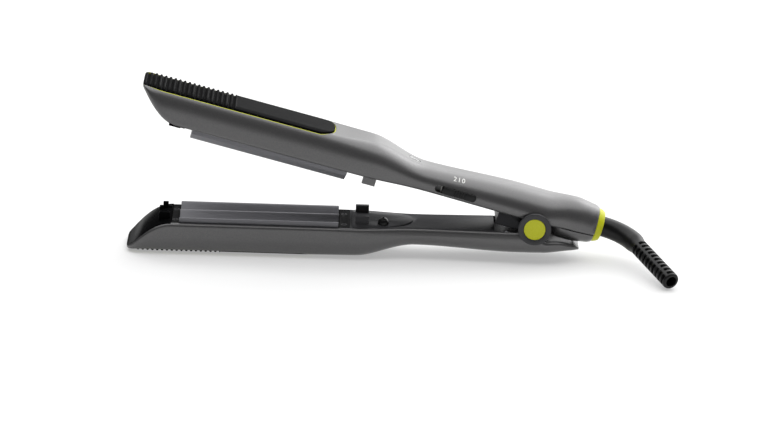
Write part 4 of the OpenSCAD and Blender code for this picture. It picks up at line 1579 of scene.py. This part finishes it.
@dataclass
class CordEnd:
    """Barrel cover, lime collar and the ribbed sleeve."""

    bench: Bench
    form: ArmForm
    collar_len: float = 4.4
    collar_radii: Flat = (10.7, 9.4)
    collar_band: float = 0.8
    collar_bulge: float = 0.25
    collar_foot: float = 0.05
    collar_edge: float = 0.15
    collar_top: float = 0.5
    collar_lip: float = 0.2
    collar_bore: float = 6.8
    spigot: Flat = (8.5, 4.0)
    straight: float = 1.0
    sleeve_r: float = 6.4
    rib_r: float = 5.4
    core_r: float = 3.8
    bore_r: float = 3.4
    bend_r: float = 24.0
    bend_angle: float = 63.0
    roll: float = 5.0
    cone: float = 4.0
    rib_count: int = 10
    rib_pitch: float = 4.1
    rear_run: float = 2.0
    slot_edge: Flat = (0.2, 0.29)
    slot_shift: float = 0.75
    web_angle: float = 11.0
    web_edge: Flat = (-2.0, 3.0)
    cone_start: float = -3.0
    rib_steps: int = 16
    flange_x: tuple[float, float, float] = (-8.0, -7.0, -4.4)
    flange_slip: float = 0.4
    flange_gap: float = 0.1
    bend_steps: int = 44
    end_round: float = 1.4
    bore_edge: Flat = (0.15, 0.2)
    bore_depth: float = 12.0
    sides: int = 96
    cover_edge: float = 0.3

    def at_cord(self, v: Vector) -> Vector:
        """Point of the cord's frame, rolled about its axis, in the part's frame."""
        rolled = Matrix.Rotation(math.radians(self.roll), 3, "X") @ v
        return self.form.place((self.form.rear_x + rolled.x, rolled.y, self.form.cord_n + rolled.z))

    def collar(self) -> Sculpt:
        """Lime collar with a spigot in the barrel.

        Returns:
            The collar in place.
        """
        (r0, r1), length, band = self.collar_radii, self.collar_len, self.collar_band
        (spigot_r, spigot_len), bore = self.spigot, self.collar_bore
        foot, edge, lip = self.collar_foot, self.collar_edge, self.collar_lip
        profile = [(bore, -spigot_len), (spigot_r, -spigot_len), (spigot_r, foot), (r0 - edge, foot)]
        profile += [(r0, foot + edge), (r0, band)]
        for t in spread(0, 1, 5)[1:]:
            bulge = self.collar_bulge * math.sin(math.pi * t)
            profile.append((mix(r0, r1, t) + bulge, mix(band, length - self.collar_top, t)))
        profile += [(r1 - edge, length - edge), (r1 - self.collar_top, length)]
        profile += [(bore + lip, length), (bore, length - lip)]
        return Sculpt.turned(profile).moved(lambda v: self.at_cord(Vector((v.z, v.y, -v.x))))

    def path(self, s: float) -> tuple[Vector, Vector]:
        """Point and direction at a length from the barrel's end: straight, a bend, then straight.

        Args:
            s: the length.

        Returns:
            Both in the cord's frame.
        """
        start = self.collar_len + self.straight
        bend = math.radians(self.bend_angle)
        arc = clamp01((s - start) / (self.bend_r * bend)) * bend
        along = Vector((math.cos(arc), -math.sin(arc), 0))
        x = min(s, start) + self.bend_r * math.sin(arc)
        point = Vector((x, self.bend_r * (math.cos(arc) - 1), 0))
        return point + along * max(0.0, s - start - self.bend_r * bend), along

    def slot_depth(self, s: float, angle: float) -> float:
        """Share of a slot's depth at a length past the cone and an angle round the sleeve.

        Args:
            s: the length.
            angle: the angle in degrees.

        Returns:
            1 at the bottom of a slot and 0 on a rib or web.
        """
        place = s / self.rib_pitch - self.slot_shift
        if not -0.5 < place < self.rib_count - 0.5:
            return 0.0
        near = abs(place - round(place))
        turn = (angle - 45) % 90
        web = abs(turn - (90 if turn > 45 else 0))
        rows = smooth(*(self.web_angle + end for end in self.web_edge), web)
        return (1 - smooth(*self.slot_edge, near)) * rows

    def radius(self, s: float, angle: float, run_start: float) -> float:
        """Outer radius of the sleeve.

        Args:
            s: length from the barrel's end.
            angle: angle round the sleeve in degrees.
            run_start: length at which the straight run starts.

        Returns:
            The radius.
        """
        past = s - run_start
        body = mix(self.sleeve_r, self.rib_r, smooth(self.cone_start, self.cone, past))
        return body - (self.rib_r - self.core_r) * self.slot_depth(past - self.cone, angle)

    def sleeve(self) -> Sculpt:
        """Smooth bend, then a straight run with rows of slots, and an open end.

        Returns:
            The sleeve in place.
        """
        run_start = self.collar_len + self.straight + self.bend_r * math.radians(self.bend_angle)
        ribs_start = run_start + self.cone
        end = ribs_start + self.rib_count * self.rib_pitch + self.rear_run
        flange, (f0, f1, f2) = self.spigot[0] - self.flange_slip, self.flange_x
        stations = [(f0, self.sleeve_r), (f1, self.sleeve_r)]
        stations += [(f1, flange), (f2, flange), (f2, self.sleeve_r)]
        stations += [(s, None) for s in spread(f2 + self.flange_gap, ribs_start, self.bend_steps)]
        ribs = spread(ribs_start, end - self.end_round, self.rib_steps * self.rib_count)[1:]
        stations += [(s, None) for s in ribs]
        for a in angles(0, 90, 6)[1:]:
            back, inward = (self.end_round * (1 - c) for c in (math.sin(a), math.cos(a)))
            stations.append((end - back, self.rib_r - inward))
        wider, edge = self.bore_edge
        stations += [(end, self.bore_r + wider), (end - edge, self.bore_r)]
        stations.append((end - self.bore_depth, self.bore_r))
        rings = []
        for s, radius in stations:
            point, along = self.path(s)
            side = Vector((-along.y, along.x, 0))
            ring = []
            for k in range(self.sides):
                angle = 360 * k / self.sides
                turn = math.radians(angle)
                out = math.cos(turn) * Vector((0, 0, 1)) + math.sin(turn) * side
                ring.append(point + out * (radius or self.radius(s, angle, run_start)))
            rings.append(ring)
        return Sculpt.lofted(rings).moved(self.at_cord)

    def build(self) -> None:
        """Builds and dresses the cord end."""
        self.bench.piece(self.collar(), "cord_collar", angle=45)
        self.bench.piece(self.sleeve(), "strain_relief", angle=40)
        self.bench.soften("upper_rear_cover", self.cover_edge)


@dataclass(frozen=True)
class SoftBox:
    """Large lamp that faces the object."""

    name: str
    size: Flat
    place: tuple[float, float, float]
    power: float
    aim: tuple[float, float, float] = (0.1, 0.0, 0.03)

    def build(self) -> None:
        """Hangs the lamp."""
        lamp = bpy.data.lights.new(self.name, "AREA")
        lamp.shape, lamp.size, lamp.size_y, lamp.energy = "RECTANGLE", *self.size, self.power
        box = bpy.data.objects.new(self.name, lamp)
        turn = (Vector(self.place) - Vector(self.aim)).to_track_quat("Z", "Y").to_matrix().to_4x4()
        box.matrix_world = Matrix.Translation(self.place) @ turn
        bpy.context.scene.collection.objects.link(box)


@dataclass
class Studio:
    """Floor, light and depth of view in metres, and the camera's place in millimetres."""

    floor_half: float = 4.5
    floor_color: Color = (0.56, 0.56, 0.56)
    floor_rough: float = 0.9
    floor_glow: float = 0.36
    world: float = 0.13
    top_box: SoftBox = SoftBox("top_box", (2.8, 2.5), (0.1, 0.4, 1.4), 50.0)
    back_box: SoftBox = SoftBox("back_box", (2.2, 1.7), (1.3, 2.1, 0.86), 23.0)
    side_box: SoftBox = SoftBox("side_box", (1.3, 1.1), (1.1, 0.6, 0.7), 8.0)
    image: tuple[int, int] = (770, 444)
    focal_px: float = 3600.0
    sensor: float = 36.0
    view_depth: float = 50.0
    elevation: float = 20.0
    yaw: float = 0.7
    roll: float = 2.0
    distance: float = 2270.0
    target: tuple[float, float, float] = (75.0, 0.0, 30.0)
    target_px: Flat = (375.5, 206.3)

    def floor(self) -> None:
        """White floor that keeps the shadow."""
        sculpt = Sculpt()
        half = self.floor_half / MM
        corners = ((-half, -half), (half, -half), (half, half), (-half, half))
        sculpt.ring([Vector((x, y, 0)) for x, y in corners])
        bmesh.ops.contextual_create(sculpt.mesh, geom=sculpt.mesh.edges)
        floor = sculpt.to_object("floor")
        if floor.data.polygons[0].normal.z < 0:
            floor.data.flip_normals()
        graph = Graph("floor_white")
        graph.set(Base_Color=self.floor_color, Roughness=self.floor_rough, Specular_IOR_Level=0.0)
        graph.set(Emission_Color=(1.0, 1.0, 1.0), Emission_Strength=self.floor_glow)
        floor.data.materials.append(graph.material)

    def lights(self) -> None:
        """Softboxes overhead, behind and on the right, and a dim room."""
        for box in (self.top_box, self.back_box, self.side_box):
            box.build()
        room = bpy.data.worlds.new("room")
        room.use_nodes = True
        background = room.node_tree.nodes["Background"].inputs
        background["Color"].default_value = (1, 1, 1, 1)
        background["Strength"].default_value = self.world
        bpy.context.scene.world = room

    def camera(self) -> None:
        """Camera at the photograph's place, with the target at its pixel."""
        el, yaw, roll = (math.radians(a) for a in (self.elevation, self.yaw, self.roll))
        forward = Vector((math.sin(yaw) * math.cos(el), math.cos(yaw) * math.cos(el), -math.sin(el)))
        level = Vector((math.cos(yaw), -math.sin(yaw), 0))
        upright = level.cross(forward)
        right = math.cos(roll) * level + math.sin(roll) * upright
        up = math.cos(roll) * upright - math.sin(roll) * level
        scale = self.distance / self.focal_px
        aim = Vector(self.target) + right * (self.image[0] / 2 - self.target_px[0]) * scale
        aim -= up * (self.image[1] / 2 - self.target_px[1]) * scale
        lens = bpy.data.cameras.new("camera")
        lens.sensor_width, lens.lens = self.sensor, self.focal_px * self.sensor / self.image[0]
        lens.clip_end = self.view_depth
        camera = bpy.data.objects.new("camera", lens)
        turned = Matrix((right, up, -forward)).transposed().to_4x4()
        camera.matrix_world = Matrix.Translation((aim - forward * self.distance) * MM) @ turned
        bpy.context.scene.collection.objects.link(camera)
        bpy.context.scene.camera = camera

    def build(self) -> None:
        """Sets the stage."""
        bpy.context.scene.view_settings.view_transform = "Standard"
        self.floor()
        self.lights()
        self.camera()


def main() -> None:
    """Builds the looks of the crimper on its frame."""
    logging.basicConfig(level=logging.INFO, format="%(name)s: %(message)s")
    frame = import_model()
    bench = Bench(frame)
    lower, upper = ArmForm(Arm.LOWER), ArmForm(Arm.UPPER)
    Studio().build()
    for node in frame["nodes"]:
        bench.dress(node)
    for form in (lower, upper):
        ArmLooks(bench, form).build()
    Hinge(bench, lower).build()
    Controls(bench, upper).build()
    CordEnd(bench, upper).build()


if __name__ == "__main__":
    main()
